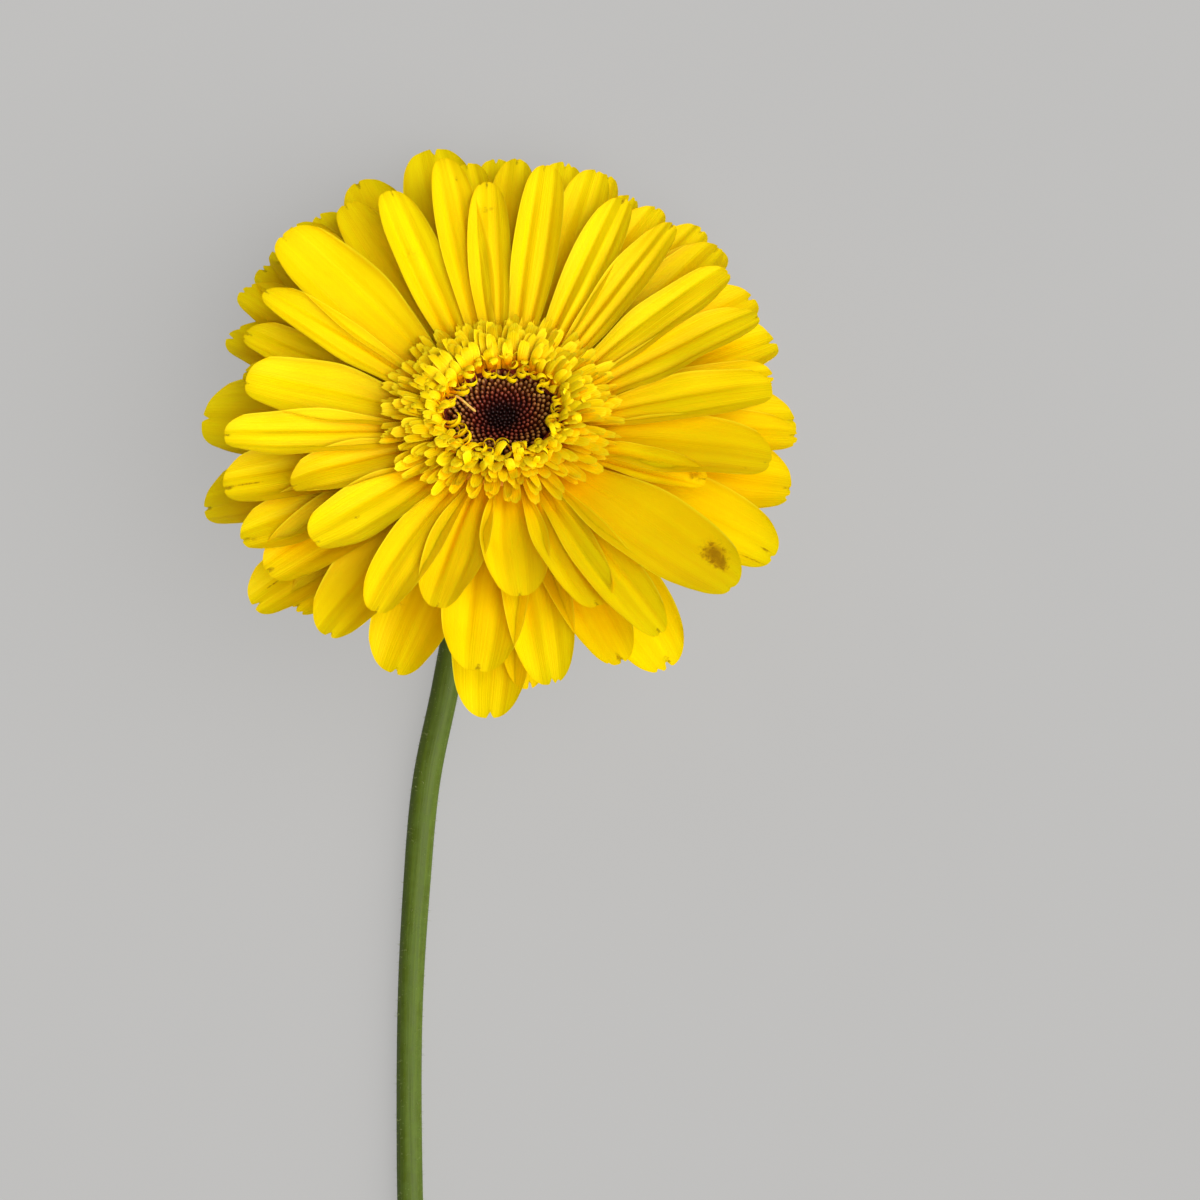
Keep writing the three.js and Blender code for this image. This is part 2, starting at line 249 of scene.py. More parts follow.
class GerberaSizes(bpy.types.PropertyGroup):
    petal_thickness: length("Petal thickness", "Greatest thickness of a ray petal", 0.42)
    groove_depth: length("Groove depth", "Depth of the two grooves that run along a petal", 0.75)
    notch_depth: length("Nick depth", "Usual depth of the nick at a petal's tip", 1.1)
    rim_wave: length("Rim wave", "How far a petal's rims rise and fall", 0.35)
    strap_thickness: length("Strap thickness", "Thickness of a trans floret", 0.18)
    bud_count: tally("Buds", "Closed buds in the disc", 310)
    bud_height: length("Bud height", "How far a bud stands out of the disc at the rim", 1.3)
    hair_length: length("Hair length", "Length of a hair on the stem", 0.75)
    stem_hairs: tally("Stem hairs", "Hairs on the stem", 2600)
    cup_hairs: tally("Cup hairs", "Woolly hairs on the green cup", 900)


class GerberaColours(bpy.types.PropertyGroup):
    petal: tint("Petal", "Blade of a ray petal", 255, 220, 0)
    # Petal base: the petal's own golden foot, deepened as painted shade where the florets shade it.
    petal_base_and_shade: tint("Petal base", "Foot of a ray petal, near the florets", 255, 192, 0)
    # Petal vein: colour of the real fine veins, also used for painted shade along the folds and a painted
    # shadow line at the borders.
    vein_and_painted_shade: tint("Petal vein", "Lines that run along a petal", 238, 184, 0)
    # Petal rim: a painted highlight along each petal's thin rim.
    petal_rim_highlight: tint("Petal rim", "Thin rim of a petal", 255, 234, 20)
    petal_back: tint("Petal back", "Under side of a petal", 232, 192, 6)
    bruise: tint("Bruise", "Brown marks and nicked tips", 112, 66, 6)
    floret: tint("Floret", "Blade of a trans floret", 255, 218, 2)
    # Floret base: the strap's own golden foot, deepened as painted shade between the straps.
    floret_base_and_shade: tint("Floret base", "Foot of a trans floret", 246, 152, 0)
    # Floret rim: a painted highlight along each strap's rim and ragged tip.
    floret_rim_highlight: tint("Floret rim", "Rim and ragged tip of a trans floret", 255, 232, 30)
    bud_rim: tint("Outer bud", "Buds at the edge of the disc", 196, 142, 66)
    bud_zone: tint("Middle bud", "Buds half way in", 158, 66, 44)
    bud_heart: tint("Inner bud", "Buds at the middle of the disc", 42, 6, 5)
    dish: tint("Dish", "Disc between the buds", 44, 12, 10)
    style: tint("Style", "The one pale style that lies on the disc", 244, 204, 84)
    style_base: tint("Style shade", "Blotches on that style", 226, 158, 74)
    bract: tint("Bract", "Green bract", 92, 118, 46)
    bract_tip: tint("Bract tip", "Dark tip of a bract", 58, 52, 30)
    cup: tint("Cup", "Green cup", 104, 128, 58)
    wool: tint("Hair", "Hairs on the cup and stem", 176, 184, 120)
    stem: tint("Stem", "Skin of the stem", 80, 96, 16)
    stem_dark: tint("Stem shade", "Streaks on the stem", 58, 74, 12)
    pith: tint("Pith", "Cut end of the stem", 188, 196, 132)


class GerberaStage(bpy.types.PropertyGroup):
    floor: tint("Floor", "Plain pale floor", 92, 91, 90)
    floor_glow: amount("Floor glow", "Light that the floor gives of itself", 0.39)
    world: tint("Surroundings", "Soft light from all round", 188, 188, 190)
    world_strength: amount("Surroundings' strength", "Strength of that light", 0.5)
    key_strength: amount("Key light", "Strength of the soft light from the right", 4.25)
    key_height: slant("Key height", "Key light's height over the floor", 51)
    key_azimuth: slant("Key azimuth", "Key light's direction, from the right toward the top", -17)
    key_softness: slant("Key softness", "Key light's width in the sky", 80)


# ---------------------------------------------------------------- shape tools

def polar(radius, azimuth, height):
    """A point of the head frame from its distance to the axis, its azimuth in degrees and its height."""
    radius, azimuth, height = np.broadcast_arrays(
        np.asarray(radius, float), np.radians(azimuth), np.asarray(height, float)
    )
    return np.stack([radius * np.cos(azimuth), radius * np.sin(azimuth), height], -1)


def to_world(points):
    """Head frame to world, in mm: a turn about X by the head's lean, then a shift to the head's centre."""
    lean = math.radians(HEAD_TILT)
    x, y, z = points[..., 0], points[..., 1], points[..., 2]
    turned = np.stack(
        [x, y * math.cos(lean) + z * math.sin(lean), z * math.cos(lean) - y * math.sin(lean)], -1
    )
    return turned + HEAD_CENTRE


def unit(vectors):
    """The vectors, each divided by its own length."""
    return vectors / np.maximum(np.linalg.norm(vectors, axis=-1, keepdims=True), 1e-12)


def smooth(value, low, high):
    """0 below low and 1 above high, and 3t^2 - 2t^3 of the share t between."""
    share = np.clip((value - low) / (high - low), 0, 1)
    return share * share * (3 - 2 * share)


def bell(value, centre, width):
    """exp(-((value - centre) / width)^2)."""
    return np.exp(-(((value - centre) / width) ** 2))


def bezier(controls, place):
    """Points and unit directions of N Bezier curves at place, which has N rows.

    A point is the sum of the controls, each weighted with its Bernstein polynomial. A direction is the same
    sum, one degree lower, of the steps between neighbouring controls.
    """
    def weighed(points):
        degree = points.shape[1] - 1
        shape = (-1,) + (1,) * (place.ndim - 1) + (3,)
        shares = [math.comb(degree, k) * place**k * (1 - place) ** (degree - k) for k in range(degree + 1)]
        return sum(share[..., None] * points[:, k].reshape(shape) for k, share in enumerate(shares))

    return weighed(controls), unit(weighed(np.diff(controls, axis=1)))


def through(points, samples):
    """A centripetal Catmull-Rom curve through the points, at samples even steps of its parameter.

    Each stretch is a cubic from one point to the next. Its end slopes come from the neighbouring points,
    weighted by the square roots of the distances, and the curve is drawn on past both ends by one step.
    """
    points = np.asarray(points, float)
    points = np.vstack([2 * points[0] - points[1], points, 2 * points[-1] - points[-2]])
    along = np.linspace(0, len(points) - 3, samples)
    first = np.minimum(along.astype(int), len(points) - 4)
    share = (along - first)[:, None]
    p0, p1, p2, p3 = (points[first + k] for k in range(4))
    step0, step1, step2 = (
        np.sqrt(np.linalg.norm(b - a, axis=1, keepdims=True)) for a, b in ((p0, p1), (p1, p2), (p2, p3))
    )
    slope1 = step1 * ((p1 - p0) / step0 - (p2 - p0) / (step0 + step1) + (p2 - p1) / step1)
    slope2 = step1 * ((p2 - p1) / step1 - (p3 - p1) / (step1 + step2) + (p3 - p2) / step2)
    square, cube = 3 * (p2 - p1) - 2 * slope1 - slope2, 2 * (p1 - p2) + slope1 + slope2
    return p1 + share * (slope1 + share * (square + share * cube))


def part_draws(count):
    """The part's own run of random numbers from -1 to 1, by its linear congruential rule."""
    state, draws = PART_SEED, []
    for _ in range(count):
        state = (state * 1664525 + 1013904223) % 2**32
        draws.append(state / 2**31 - 1)
    return draws


def grid_faces(grid, close_columns=False):
    """Quads between neighbouring rows and columns of a grid of vertex numbers."""
    if close_columns:
        grid = np.concatenate([grid, grid[:, :1]], axis=1)
    return np.stack([grid[:-1, :-1], grid[:-1, 1:], grid[1:, 1:], grid[1:, :-1]], -1).reshape(-1, 4)


def coils(foot, start, axis, length, curl, straight, place):
    """Points and unit directions of N curls at place, which is (N, rows, columns).

    A curl leaves its foot along start and turns about its axis, which is square to start, by curl * t^1.3
    degrees, with t the share of its length beyond the straight stretch. Its points are the running sum of its
    directions over even steps.
    """
    steps = 64
    beyond = np.clip(np.linspace(0, 1, steps + 1) - straight[:, None], 0, 1) / (1 - straight)[:, None]
    angle = np.radians(curl)[:, None] * beyond**1.3
    sideways = np.cross(axis, start)
    direction = start[:, None] * np.cos(angle)[..., None] + sideways[:, None] * np.sin(angle)[..., None]
    run = np.cumsum((direction[:, 1:] + direction[:, :-1]) / 2, axis=1) / steps
    run = np.concatenate([np.zeros_like(run[:, :1]), run], axis=1)
    track = foot[:, None] + length[:, None, None] * run
    spot = np.clip(place, 0, 1) * steps
    before = np.minimum(spot.astype(int), steps - 1)
    rest = (spot - before)[..., None]
    each = np.arange(len(foot))[:, None, None]
    between = lambda values: values[each, before] * (1 - rest) + values[each, before + 1] * rest
    return between(track), unit(between(direction))


def blades(path, side, place, across, half_width, lift, thickness, roll):
    """N thin closed blades, each a function of its place along a path and its share across.

    path holds the points and unit directions at place. The middle sheet is the path's point + across * half
    width * sideways + lift * upward. Sideways is the side hint with the part along the path taken off, turned
    about the path by roll * place, and upward is sideways x along. The upper and lower sheets lie half the
    thickness to either side of it and share their border, where the thickness is nothing.
    Gives points (N, M, 3), faces, UV (across, along) and 1 on the lower sheet, else 0.
    """
    count, rows, columns = place.shape
    centre, along = path
    hint = np.broadcast_to(side[:, None, None, :], along.shape)
    sideways = unit(hint - (hint * along).sum(-1, keepdims=True) * along)
    upward = np.cross(sideways, along)
    turn = np.radians(roll)[:, None, None, None] * place[..., None]
    sideways, upward = (
        sideways * np.cos(turn) - upward * np.sin(turn),
        upward * np.cos(turn) + sideways * np.sin(turn),
    )
    middle = centre + sideways * (across * half_width)[..., None] + upward * lift[..., None]
    border = np.ones((rows, columns))
    border[1:-1, 1:-1] = 0
    half = (thickness * (1 - border) / 2)[..., None] * upward
    inner = (slice(None), slice(1, -1), slice(1, -1))
    points = np.concatenate(
        [(middle + half).reshape(count, -1, 3), (middle - half)[inner].reshape(count, -1, 3)], axis=1
    )
    upper = np.arange(rows * columns).reshape(rows, columns)
    lower = upper.copy()
    lower[1:-1, 1:-1] = rows * columns + np.arange((rows - 2) * (columns - 2)).reshape(rows - 2, columns - 2)
    faces = np.concatenate([grid_faces(upper), grid_faces(lower)[:, ::-1]])
    step = points.shape[1]
    faces = (faces[None] + (np.arange(count) * step)[:, None, None]).reshape(-1, 4)
    flat = np.stack(np.broadcast_arrays((across + 1) / 2, place), -1)
    uv = np.concatenate([flat.reshape(count, -1, 2), flat[inner].reshape(count, -1, 2)], axis=1)
    under = np.concatenate([np.zeros(rows * columns), np.ones((rows - 2) * (columns - 2))])
    return points, faces, uv, np.broadcast_to(under, (count, step))


def tube_faces(rings, sides):
    """Faces of a closed tube: quads between its rings, and a fan to a pole beyond each end.

    The rings' points come first, ring by ring, then the pole before the first ring and the one past the last.
    """
    numbers = np.arange(rings * sides).reshape(rings, sides)
    following = np.roll(numbers, -1, axis=1)
    fans = np.concatenate([
        np.stack([np.full(sides, numbers.size), following[0], numbers[0]], -1),
        np.stack([np.full(sides, numbers.size + 1), numbers[-1], following[-1]], -1),
    ])
    return [grid_faces(numbers, close_columns=True), fans]


def turned(profile, sides):
    """A round closed surface: each profile point (radius, height) becomes a ring, and the first and last
    rings are closed at a pole on the axis."""
    profile = np.asarray(profile, float)
    azimuth = np.arange(sides) * 360 / sides
    rings = polar(profile[:, :1], azimuth[None, :], profile[:, 1:])
    poles = np.array([[0, 0, profile[0, 1]], [0, 0, profile[-1, 1]]])
    return np.concatenate([rings.reshape(-1, 3), poles]), tube_faces(len(profile), sides)


def ring_core(profile, sides):
    """A round ring: a closed loop of (radius, height) points carried once round the axis."""
    loop = np.asarray(profile, float)
    azimuth = np.arange(sides) * 360 / sides
    rings = polar(loop[:, :1], azimuth[None, :], loop[:, 1:])
    numbers = np.arange(rings.shape[0] * sides).reshape(-1, sides)
    numbers = np.concatenate([numbers, numbers[:1]])
    return rings.reshape(-1, 3), grid_faces(numbers, close_columns=True)


def hairs(feet, directions, lengths, radius):
    """N thin spikes of three sides: three points round the foot, and a tip at foot + direction * length."""
    helper = np.where(np.abs(directions[:, 2:]) > 0.9, [[1.0, 0, 0]], [[0, 0, 1.0]])
    first = unit(np.cross(directions, helper))
    second = np.cross(directions, first)
    angles = np.radians([0, 120, 240])
    round_foot = feet[:, None] + radius * (
        np.cos(angles)[None, :, None] * first[:, None] + np.sin(angles)[None, :, None] * second[:, None]
    )
    tips = (feet + directions * lengths[:, None])[:, None]
    points = np.concatenate([round_foot, tips], axis=1).reshape(-1, 3)
    pattern = np.array([[0, 1, 3], [1, 2, 3], [2, 0, 3], [0, 2, 1]])
    faces = (pattern[None] + (np.arange(len(feet)) * 4)[:, None, None]).reshape(-1, 3)
    return points, faces


def add_piece(name, points, faces, material, nodes, uv=None, values=None):
    """Makes one object from points in mm and faces, which is one array or a list of arrays of vertex numbers.

    uv and values hold one entry for each point. The piece rides on the flower's body, takes the given finish,
    and stands for the CAD nodes that it names.
    """
    mesh = bpy.data.meshes.new(name)
    corners = (np.asarray(points).reshape(-1, 3) * MM).tolist()
    rings = faces if isinstance(faces, list) else [faces]
    mesh.from_pydata(corners, [], [face for ring in rings for face in ring.tolist()])
    mesh.polygons.foreach_set("use_smooth", np.ones(len(mesh.polygons), bool))
    if uv is not None:
        corner = np.zeros(len(mesh.loops), np.int32)
        mesh.loops.foreach_get("vertex_index", corner)
        layer = mesh.uv_layers.new(name="Surface")
        layer.data.foreach_set("uv", np.asarray(uv, np.float32).reshape(-1, 2)[corner].ravel())
    for label, numbers in (values or {}).items():
        attribute = mesh.attributes.new(label, "FLOAT", "POINT")
        attribute.data.foreach_set("value", np.asarray(numbers, np.float32).ravel())
    mesh.materials.append(material)
    mesh.update()
    mesh.set_sharp_from_angle(angle=SHARP_ANGLE)
    piece = bpy.data.objects.new(name, mesh)
    bpy.context.scene.collection.objects.link(piece)
    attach(piece, "root")
    if nodes:
        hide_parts(*nodes)
    return piece


# ---------------------------------------------------------------- finishes

class Graph:
    """A short way to add the nodes of one tree and to join them."""

    def __init__(self, tree):
        self.tree = tree

    def node(self, kind, inputs=None, **settings):
        """A new node with its settings, and its inputs joined to a socket or set to a value."""
        made = self.tree.nodes.new(kind)
        for name, value in settings.items():
            setattr(made, name, value)
        for key, value in (inputs or {}).items():
            if isinstance(value, bpy.types.NodeSocket):
                self.tree.links.new(value, made.inputs[key])
            else:
                made.inputs[key].default_value = value
        return made

    def math(self, operation, *values):
        """One step of arithmetic on sockets or numbers."""
        return self.node("ShaderNodeMath", dict(enumerate(values)), operation=operation).outputs[0]

    def fade(self, value, low, high, start=0.0, end=1.0):
        """Smoothly from start to end as value goes from low to high."""
        inputs = {0: value, 1: low, 2: high, 3: start, 4: end}
        return self.node("ShaderNodeMapRange", inputs, interpolation_type="SMOOTHSTEP").outputs[0]

    def blend(self, factor, first, second, mode="MIX"):
        """First colour toward the second by factor."""
        inputs = {0: factor, 6: first, 7: second}
        return self.node("ShaderNodeMix", inputs, data_type="RGBA", blend_type=mode).outputs[2]

    def tinted(self, colour, other, mask, share=1.0):
        """The colour moved toward another one by mask * share."""
        return self.blend(self.math("MULTIPLY", mask, share), colour, other)

    def noise(self, vector, scale, detail=2.0, roughness=0.5):
        """Cloudy noise from 0 to 1, finer as scale grows."""
        inputs = {"Vector": vector, "Scale": scale, "Detail": detail, "Roughness": roughness}
        return self.node("ShaderNodeTexNoise", inputs).outputs[0]

    def split(self, vector):
        """X, Y and Z of a vector."""
        return self.node("ShaderNodeSeparateXYZ", {0: vector}).outputs

    def value(self, attribute):
        """The number that the mesh keeps under that name at each point."""
        return self.node("ShaderNodeAttribute", attribute_name=attribute).outputs["Fac"]

    def surface(self):
        """The piece's own UV map: X across from 0 to 1, and Y along from the foot to the tip."""
        return self.node("ShaderNodeUVMap", uv_map="Surface").outputs[0]

    def place(self):
        """The point's own coordinates, in metres."""
        return self.node("ShaderNodeTexCoord").outputs["Object"]

    def group(self, name, inputs):
        """The one output of a shared effect."""
        tree = bpy.data.node_groups[name]
        return self.node("ShaderNodeGroup", inputs, node_tree=tree).outputs[0]

    def veins(self, lines, reach, seed):
        """Lines along a blade, from 0 to 1: how many across, and how often they change along it."""
        return self.group("Blade veins", {"Lines": lines, "Length": reach, "Seed": seed})

    def rim(self, width):
        """1 on a blade's side rims and 0 inside."""
        return self.group("Blade rim", {"Width": width})

    def mottle(self, scale):
        """Soft blotches from 0 to 1."""
        return self.group("Soft mottling", {"Scale": scale})

    def bump(self, height, distance, strength):
        """Relief of that height, where 1 stands distance metres high."""
        inputs = {"Height": height, "Distance": distance, "Strength": strength}
        return self.node("ShaderNodeBump", inputs).outputs[0]


def group_tree(name, inputs, output):
    """An empty node group with float inputs, given with their defaults, and one float output."""
    tree = bpy.data.node_groups.new(name, "ShaderNodeTree")
    for label, default in inputs.items():
        socket = tree.interface.new_socket(label, in_out="INPUT", socket_type="NodeSocketFloat")
        socket.default_value = default
    tree.interface.new_socket(output, in_out="OUTPUT", socket_type="NodeSocketFloat")
    graph = Graph(tree)
    return graph, graph.node("NodeGroupInput").outputs, graph.node("NodeGroupOutput").inputs[output]


def veins_group():
    """Fine lines that run along a blade: noise that is stretched along the UV map's Y."""
    given_values = {"Lines": 40.0, "Length": 2.0, "Seed": 0.0}
    graph, given, result = group_tree("Blade veins", given_values, "Veins")
    x, y, _ = graph.split(graph.surface())
    spot = graph.node("ShaderNodeCombineXYZ", {
        0: graph.math("MULTIPLY", x, given["Lines"]),
        1: graph.math("MULTIPLY", y, given["Length"]),
        2: graph.math("MULTIPLY", given["Seed"], 17.0),
    }).outputs[0]
    graph.tree.links.new(graph.fade(graph.noise(spot, 1.0), 0.3, 0.7), result)


def rim_group():
    """1 on the side rims of a blade and 0 inside, Width being the share of its width that the rim takes."""
    graph, given, result = group_tree("Blade rim", {"Width": 0.1}, "Rim")
    x, _, _ = graph.split(graph.surface())
    out = graph.math("MULTIPLY", graph.math("ABSOLUTE", graph.math("SUBTRACT", x, 0.5)), 2.0)
    inside = graph.math("SUBTRACT", 1.0, given["Width"])
    graph.tree.links.new(graph.fade(out, inside, 1.0), result)


def mottle_group():
    """Soft blotches on Object coordinates: coarse noise plus a third of noise four times finer."""
    graph, given, result = group_tree("Soft mottling", {"Scale": 100.0}, "Mottle")
    place = graph.place()
    coarse = graph.noise(place, given["Scale"])
    fine = graph.noise(place, graph.math("MULTIPLY", given["Scale"], 4.0))
    both = graph.math("ADD", graph.math("MULTIPLY", coarse, 0.75), graph.math("MULTIPLY", fine, 0.25))
    graph.tree.links.new(graph.fade(both, 0.32, 0.68), result)


def finish(name, settings, build):
    """A material: settings are the shader's own constant values, and build adds what changes on the surface.

    build takes the graph and gives a dict from shader input to socket.
    """
    material = bpy.data.materials.new(name)
    material.use_nodes = True
    material.node_tree.nodes.clear()
    graph = Graph(material.node_tree)
    shader = graph.node("ShaderNodeBsdfPrincipled", settings)
    for key, socket in build(graph).items():
        graph.tree.links.new(socket, shader.inputs[key])
    graph.node("ShaderNodeOutputMaterial", {"Surface": shader.outputs[0]})
    return material


def petal_finish(colours):
    """Yellow blade: golden foot, partly its own colour and partly painted shade from the florets, fine darker
    veins, broad darker stripes of painted shade along its folds, darker borders as a painted shadow line with
    a thin pale rim as a painted highlight, duller back, brown nicks and bruises."""
    def build(graph):
        _, y, _ = graph.split(graph.surface())
        tone, under, mark = graph.value("tone"), graph.value("under"), graph.value("mark")
        veins = graph.veins(46.0, 2.4, tone)
        # Broad darker stripes: painted shade of the petal's lengthwise folds.
        painted_fold_shade = graph.veins(9.0, 0.8, graph.math("ADD", tone, 3.0))
        # Golden foot: partly the petal's own colour, partly painted shade from the florets.
        colour = graph.blend(graph.fade(y, 0.05, 0.62), colours.petal_base_and_shade, colours.petal)
        colour = graph.tinted(colour, colours.vein_and_painted_shade, veins, 0.07)
        colour = graph.tinted(colour, colours.vein_and_painted_shade, painted_fold_shade, 0.4)
        # Darker border band: a painted shadow line just inside the petal's rim.
        colour = graph.tinted(colour, colours.vein_and_painted_shade, graph.rim(0.2), 0.5)
        colour = graph.tinted(colour, colours.petal_base_and_shade, graph.mottle(160.0), 0.1)
        colour = graph.blend(graph.fade(tone, 0.35, 1.0, 0.0, 0.3), colour, colours.vein_and_painted_shade)
        # Thin pale rim: a painted highlight where the petal's rims catch the light.
        colour = graph.tinted(colour, colours.petal_rim_highlight, graph.rim(0.07), 0.85)
        colour = graph.tinted(colour, colours.petal_back, under, 0.6)
        speckle = graph.fade(graph.noise(graph.place(), 1100.0, 4.0, 0.7), 0.42, 0.62)
        brown = graph.math("MULTIPLY", graph.fade(mark, 0.12, 0.75), graph.fade(mark, 0.3, 1.2, speckle, 1.0))
        colour = graph.tinted(colour, colours.bruise, brown, 0.75)
        rough = graph.fade(veins, 0.0, 1.0, 0.42, 0.56)
        return {"Base Color": colour, "Roughness": rough, "Normal": graph.bump(veins, 0.00006, 0.6)}

    settings = {
        "Subsurface Weight": 0.35, "Subsurface Radius": (1.0, 0.62, 0.06), "Subsurface Scale": 0.0016,
        "Specular IOR Level": 0.05,
    }
    return finish("Yellow petal", settings, build)


def floret_finish(colours, name, pale, foot):
    """Yellow strap: golden up to foot, a share of its length, partly its own colour and partly painted shade
    between the straps, then yellow, with a pale rim and ragged tip as a painted highlight.
    """
    def build(graph):
        _, y, _ = graph.split(graph.surface())
        tone = graph.value("tone")
        veins, mottle = graph.veins(9.0, 2.5, tone), graph.mottle(500.0)
        # Golden foot: partly the strap's own colour, partly painted shade between the straps.
        colour = graph.blend(graph.fade(y, foot / 3, foot), colours.floret_base_and_shade, colours.floret)
        colour = graph.tinted(colour, colours.vein_and_painted_shade, veins, 0.3)
        colour = graph.blend(graph.fade(tone, 0.5, 1.0, 0.0, 0.35), colour, colours.petal_base_and_shade)
        # Pale rim and ragged tip: a painted highlight along the strap's edges.
        tip = graph.fade(graph.math("ADD", y, graph.math("MULTIPLY", mottle, 0.1)), 0.88, 1.06)
        rim = graph.math("MULTIPLY", graph.rim(0.3), 0.7)
        edge = graph.math("MAXIMUM", rim, graph.math("MULTIPLY", tip, 0.8))
        edge = graph.math("MULTIPLY", edge, graph.fade(y, 0.3, 0.6, 0.0, pale))
        colour = graph.blend(edge, colour, colours.floret_rim_highlight)
        rough = graph.fade(mottle, 0.0, 1.0, 0.4, 0.58)
        return {"Base Color": colour, "Roughness": rough, "Normal": graph.bump(veins, 0.00008, 0.6)}

    settings = {
        "Subsurface Weight": 0.15, "Subsurface Radius": (1.0, 0.6, 0.08), "Subsurface Scale": 0.0003,
        "Specular IOR Level": 0.06,
    }
    return finish(name, settings, build)


def bud_finish(colours):
    """Buds: tan at the rim of the disc, maroon half way in, nearly black in the middle, with painted shade
    low down and a painted highlight on top.
    """
    def build(graph):
        ring, top, tone = graph.value("ring"), graph.value("top"), graph.value("tone")
        colour = graph.blend(graph.fade(ring, 0.22, 0.6), colours.bud_heart, colours.bud_zone)
        colour = graph.blend(graph.fade(ring, 0.5, 0.9), colour, colours.bud_rim)
        # Painted shade low down between the buds, which leaves a painted highlight on each bud's top.
        low = graph.blend(1.0, colour, BUD_SHADE, "MULTIPLY")
        colour = graph.blend(graph.fade(top, 0.6, 1.0), low, colour)
        colour = graph.blend(graph.fade(tone, 0.3, 1.0, 0.0, 0.5), colour, low)
        return {"Base Color": colour, "Roughness": graph.fade(graph.mottle(900.0), 0.0, 1.0, 0.28, 0.5)}

    settings = {"Specular IOR Level": 0.3, "Subsurface Weight": 0.05, "Subsurface Scale": 0.0006}
    return finish("Closed buds", settings, build)


def plain_finish(name, first, second, scale, settings, rough=(0.5, 0.7), relief=0.00006):
    """A mottled skin between two colours."""
    def build(graph):
        mottle = graph.mottle(scale)
        return {
            "Base Color": graph.blend(mottle, first, second),
            "Roughness": graph.fade(mottle, 0.0, 1.0, *rough),
            "Normal": graph.bump(mottle, relief, 0.5),
        }

    return finish(name, settings, build)


def bract_finish(colours):
    """Green bract: veined, paler rims, dark reddish tip."""
    def build(graph):
        _, y, _ = graph.split(graph.surface())
        veins = graph.veins(14.0, 2.0, graph.value("tone"))
        colour = graph.blend(graph.math("MULTIPLY", veins, 0.35), colours.bract, colours.stem_dark)
        colour = graph.tinted(colour, colours.cup, graph.rim(0.25), 0.35)
        colour = graph.blend(graph.fade(y, 0.72, 0.98), colour, colours.bract_tip)
        rough = graph.fade(veins, 0.0, 1.0, 0.5, 0.68)
        return {"Base Color": colour, "Roughness": rough, "Normal": graph.bump(veins, 0.0001, 0.6)}

    settings = {"Subsurface Weight": 0.12, "Subsurface Radius": (0.5, 1.0, 0.2), "Subsurface Scale": 0.001}
    return finish("Green bract", settings, build)


def stem_finish(colours):
    """Green skin with long streaks, darker near the head, and a pale cut end."""
    def build(graph):
        x, y, _ = graph.split(graph.surface())
        cut = graph.value("cut")
        round_angle = graph.math("MULTIPLY", x, 2 * math.pi)
        streak_spot = graph.node("ShaderNodeCombineXYZ", {
            0: graph.math("MULTIPLY", graph.math("COSINE", round_angle), 3.2),
            1: graph.math("MULTIPLY", graph.math("SINE", round_angle), 3.2),
            2: graph.math("MULTIPLY", y, 9.0),
        }).outputs[0]
        streaks = graph.fade(graph.noise(streak_spot, 1.6, 3.0), 0.34, 0.66)
        mottle = graph.mottle(260.0)
        colour = graph.blend(graph.math("MULTIPLY", streaks, 0.45), colours.stem, colours.stem_dark)
        colour = graph.tinted(colour, colours.cup, mottle, 0.2)
        colour = graph.blend(graph.fade(y, 0.02, 0.30, 0.55, 0.0), colour, colours.stem_dark)
        colour = graph.blend(graph.fade(cut, 0.05, 0.2), colour, colours.pith)
        colour = graph.blend(graph.fade(cut, 0.55, 0.95, 0.0, 0.45), colour, colours.stem)
        rough = graph.fade(mottle, 0.0, 1.0, 0.45, 0.62)
        return {"Base Color": colour, "Roughness": rough, "Normal": graph.bump(streaks, 0.00005, 0.5)}

    settings = {
        "Subsurface Weight": 0.12, "Subsurface Radius": (0.5, 1.0, 0.2), "Subsurface Scale": 0.0012,
        "Specular IOR Level": 0.2,
    }
    return finish("Green stem", settings, build)


def prepared(context):
    """Builds the shared effects once, and gives the flower's sizes and colours."""
    if "Blade veins" not in bpy.data.node_groups:
        veins_group()
        rim_group()
        mottle_group()
    return context.scene.gerbera_sizes, context.scene.gerbera_colours


# ---------------------------------------------------------------- ray petals

def petal_facts():
    """Each layer's petals as arrays of azimuth, reach, width, roll and sway, with the part's own draws."""
    bracts = sum(row["count"] for row in BRACT_ROWS)
    petals = sum(len(layer["rows"]) for layer in PETAL_LAYERS.values())
    draws = iter(part_draws(bracts * DRAWS_PER_BRACT + 2 * petals)[bracts * DRAWS_PER_BRACT:])
    facts = {}
    for name, layer in PETAL_LAYERS.items():
        rows = []
        for azimuth, reach, width, *given in layer["rows"]:
            roll = given[0] if given else PETAL_ROLL * next(draws)
            rows.append((azimuth, reach, width, roll, math.degrees(PETAL_SWAY * next(draws) / reach)))
        facts[name] = np.array(rows).T
    return facts


def petal_controls(layer, azimuth, reach, sway):
    """Root, bend and tip of each petal of a layer, in the head frame."""
    radius, height = layer["root"]
    rise = np.tan(np.radians(layer["side_rise"] + layer["rise_swing"] * np.sin(np.radians(azimuth))))
    span = reach - radius
    bend = span * PETAL_BEND
    return np.stack([
        polar(radius, azimuth, height),
        polar(radius + bend, azimuth + sway, layer["level"] + bend * rise + layer["lift"]),
        polar(reach, azimuth, layer["level"] + span * rise),
    ], axis=1)


